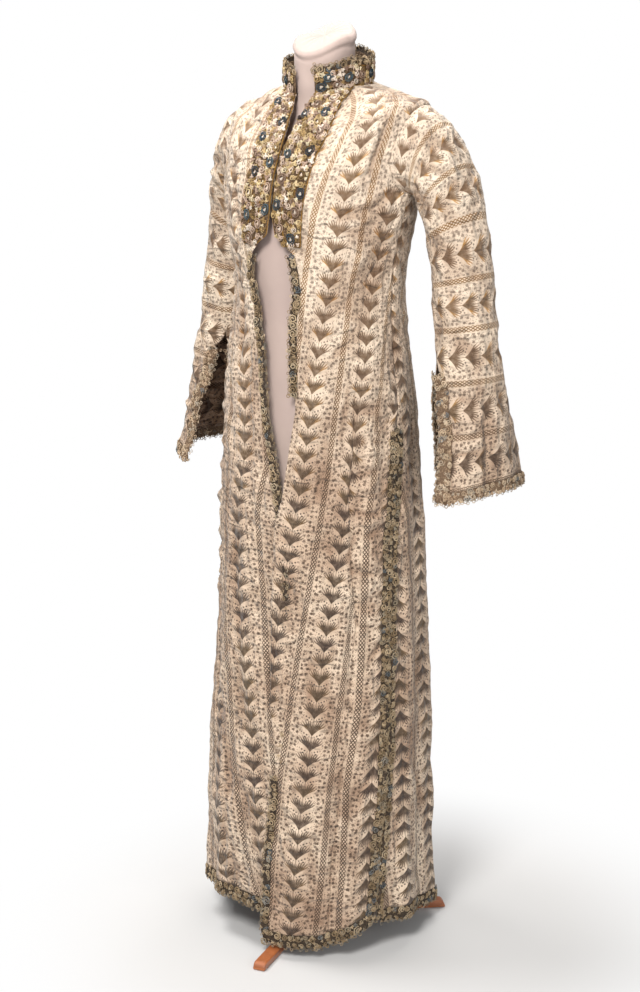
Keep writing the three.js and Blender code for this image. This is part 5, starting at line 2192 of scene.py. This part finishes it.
def front_lace_runs():
    """Laces of the left front, in two lengths, and of the right one, each round its hem."""
    def left(levels):
        return edge_run("left", partial(edge_turn, "left"), 1, levels, EDGE_LACE_WIDTH, LACE_LAP)

    up = np.linspace(*RIGHT_LACE_LEVELS, 260)
    right = edge_run("right", partial(edge_turn, "right"), -1, up[::-1], EDGE_LACE_WIDTH,
                     RIGHT_LACE_LAP)
    seam = float(gore_turn(0))
    left_hem = hem_run("left", float(edge_turn("left", 0)), seam)
    right_hem = hem_run("right", float(edge_turn("right", 0)), -seam)
    return {
        "lace_front_left_upper": left(np.linspace(*UPPER_LACE_LEVELS, 90)),
        "lace_front_left_lower": joined(left(np.linspace(*LOWER_LACE_LEVELS, 60)), left_hem),
        "lace_front_right": joined(right, right_hem),
    }


def slit_lace_runs():
    """Laces of both gores and of the back, round their hems and up the slits."""
    slit = np.linspace(0, SLIT_FULL_LEVEL, 200)
    seam, end, back = (float(turn(0)) for turn in (gore_turn, gore_end, back_outer_turn))
    width = EDGE_LACE_WIDTH + GORE_LACE_EXTRA
    return {
        "lace_gore_left": joined(
            hem_run("left", seam, end),
            edge_run("left", gore_end, -1, slit, width, LACE_LAP)),
        "lace_gore_right": joined(
            hem_run("right", -seam, -end),
            edge_run("right", lambda level: -gore_end(level), 1, slit, width, LACE_LAP)),
        "lace_back": joined(
            edge_run("back", back_outer_turn, 1, slit[::-1], EDGE_LACE_WIDTH, LACE_LAP),
            hem_run("back", back, 360 - back, 160),
            edge_run("back", lambda level: 360 - back_outer_turn(level), -1, slit,
                     EDGE_LACE_WIDTH, LACE_LAP)),
    }


def sleeve_lace_run(side):
    """Stations down one edge of a sleeve's slit, round the cuff and up the other edge."""
    down = np.linspace((SLEEVE_CLOSED_ROWS + 1) / len(SLEEVE), 1, 70)
    width = EDGE_LACE_WIDTH + SLEEVE_LACE_EXTRA
    first, last = np.full(70, SLEEVE_LAP), np.full(70, 1 - SLEEVE_LAP)
    return joined(
        sleeve_run(side, first, down, (0.01, 0), width),
        sleeve_run(side, np.linspace(0, 1, 120), np.ones(120), (0, -0.02), CUFF_LACE_WIDTH),
        sleeve_run(side, last, down[::-1], (-0.01, 0), width))


class ROBE_OT_stage(bpy.types.Operator):
    """Camera, pale floor and soft studio light"""

    bl_idname = "robe.stage"
    bl_label = "Stage"

    def execute(self, context):
        make_camera()
        make_stage()
        return {"FINISHED"}


class ROBE_OT_fronts(bpy.types.Operator):
    """The two fronts, cut with their shoulders"""

    bl_idname = "robe.fronts"
    bl_label = "Fronts"

    def execute(self, context):
        for side in ("left", "right"):
            cloth_piece(f"front_{side}", side, front_edges(side), FRONT_GRID)
        return {"FINISHED"}


class ROBE_OT_gores(bpy.types.Operator):
    """The two side gores, from underarm to hem"""

    bl_idname = "robe.gores"
    bl_label = "Gores"

    def execute(self, context):
        for side in ("left", "right"):
            cloth_piece(f"gore_{side}", side, gore_edges(side), GORE_GRID, UNDERARM_LEVEL)
        return {"FINISHED"}


class ROBE_OT_back(bpy.types.Operator):
    """The back, cut in one width"""

    bl_idname = "robe.back"
    bl_label = "Back"

    def execute(self, context):
        cloth_piece("back", "back", back_edges, BACK_GRID)
        return {"FINISHED"}


class ROBE_OT_sleeves(bpy.types.Operator):
    """The two slit sleeves"""

    bl_idname = "robe.sleeves"
    bl_label = "Sleeves"

    def execute(self, context):
        for side in ("left", "right"):
            sleeve_piece(side)
        return {"FINISHED"}


class ROBE_OT_embroidery(bpy.types.Operator):
    """Collar and bibs of coiled metal thread, with their piping and knot button"""

    bl_idname = "robe.embroidery"
    bl_label = "Collar and bibs"

    def execute(self, context):
        collar_pieces()
        for side in ("left", "right"):
            bib_pieces(side)
        button_piece()
        return {"FINISHED"}


class ROBE_OT_lace(bpy.types.Operator):
    """Metal-thread lace along the neck, fronts, hems, slits and cuffs"""

    bl_idname = "robe.lace"
    bl_label = "Lace"

    def execute(self, context):
        dark = lace_finishes("lace_net", "gilt_lace")
        pale = lace_finishes("pale_net", "pale_lace")
        runs = {"lace_neck": neck_lace_run(), **front_lace_runs(), **slit_lace_runs()}
        for side in ("left", "right"):
            runs[f"lace_sleeve_{side}"] = sleeve_lace_run(side)
        for node, (carrier, seed) in LACES.items():
            lace_piece(node, runs[node], pale if "sleeve" in node else dark, seed)
        return {"FINISHED"}


class ROBE_OT_form(bpy.types.Operator):
    """Calico dress form with its gathered neck cap, on a pole and a low tripod"""

    bl_idname = "robe.form"
    bl_label = "Form and stand"

    def execute(self, context):
        form_piece()
        wood = finish_of(wood_material, "varnished_wood")
        for index in range(3):
            leg_piece(index, wood)
        give_finish("hub", wood)
        give_finish("pole", finish_of(steel_material, "brushed_steel"))
        return {"FINISHED"}


OPERATORS = (
    ROBE_OT_stage,
    ROBE_OT_fronts,
    ROBE_OT_gores,
    ROBE_OT_back,
    ROBE_OT_sleeves,
    ROBE_OT_embroidery,
    ROBE_OT_lace,
    ROBE_OT_form,
)


class ROBE_PT_panel(bpy.types.Panel):
    """Lists the robe's pieces, sizes and colours"""

    bl_label = "Robe"
    bl_idname = "ROBE_PT_panel"
    bl_space_type = "VIEW_3D"
    bl_region_type = "UI"
    bl_category = "Robe"

    def draw(self, context):
        for group in (context.scene.robe_sizes, context.scene.robe_colours):
            column = self.layout.column()
            for name in group.bl_rna.properties.keys():
                if name not in ("rna_type", "name"):
                    column.prop(group, name)
        for operator in OPERATORS:
            self.layout.operator(operator.bl_idname)


CLASSES = (RobeSizes, RobeColours, *OPERATORS, ROBE_PT_panel)


def register():
    for each in CLASSES:
        bpy.utils.register_class(each)
    bpy.types.Scene.robe_sizes = bpy.props.PointerProperty(type=RobeSizes)
    bpy.types.Scene.robe_colours = bpy.props.PointerProperty(type=RobeColours)


def unregister():
    del bpy.types.Scene.robe_colours
    del bpy.types.Scene.robe_sizes
    for each in reversed(CLASSES):
        bpy.utils.unregister_class(each)


def main():
    register()
    bpy.ops.robe.stage()
    bpy.ops.robe.fronts()
    bpy.ops.robe.gores()
    bpy.ops.robe.back()
    bpy.ops.robe.sleeves()
    bpy.ops.robe.embroidery()
    bpy.ops.robe.lace()
    bpy.ops.robe.form()
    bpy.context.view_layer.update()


if __name__ == "__main__":
    main()
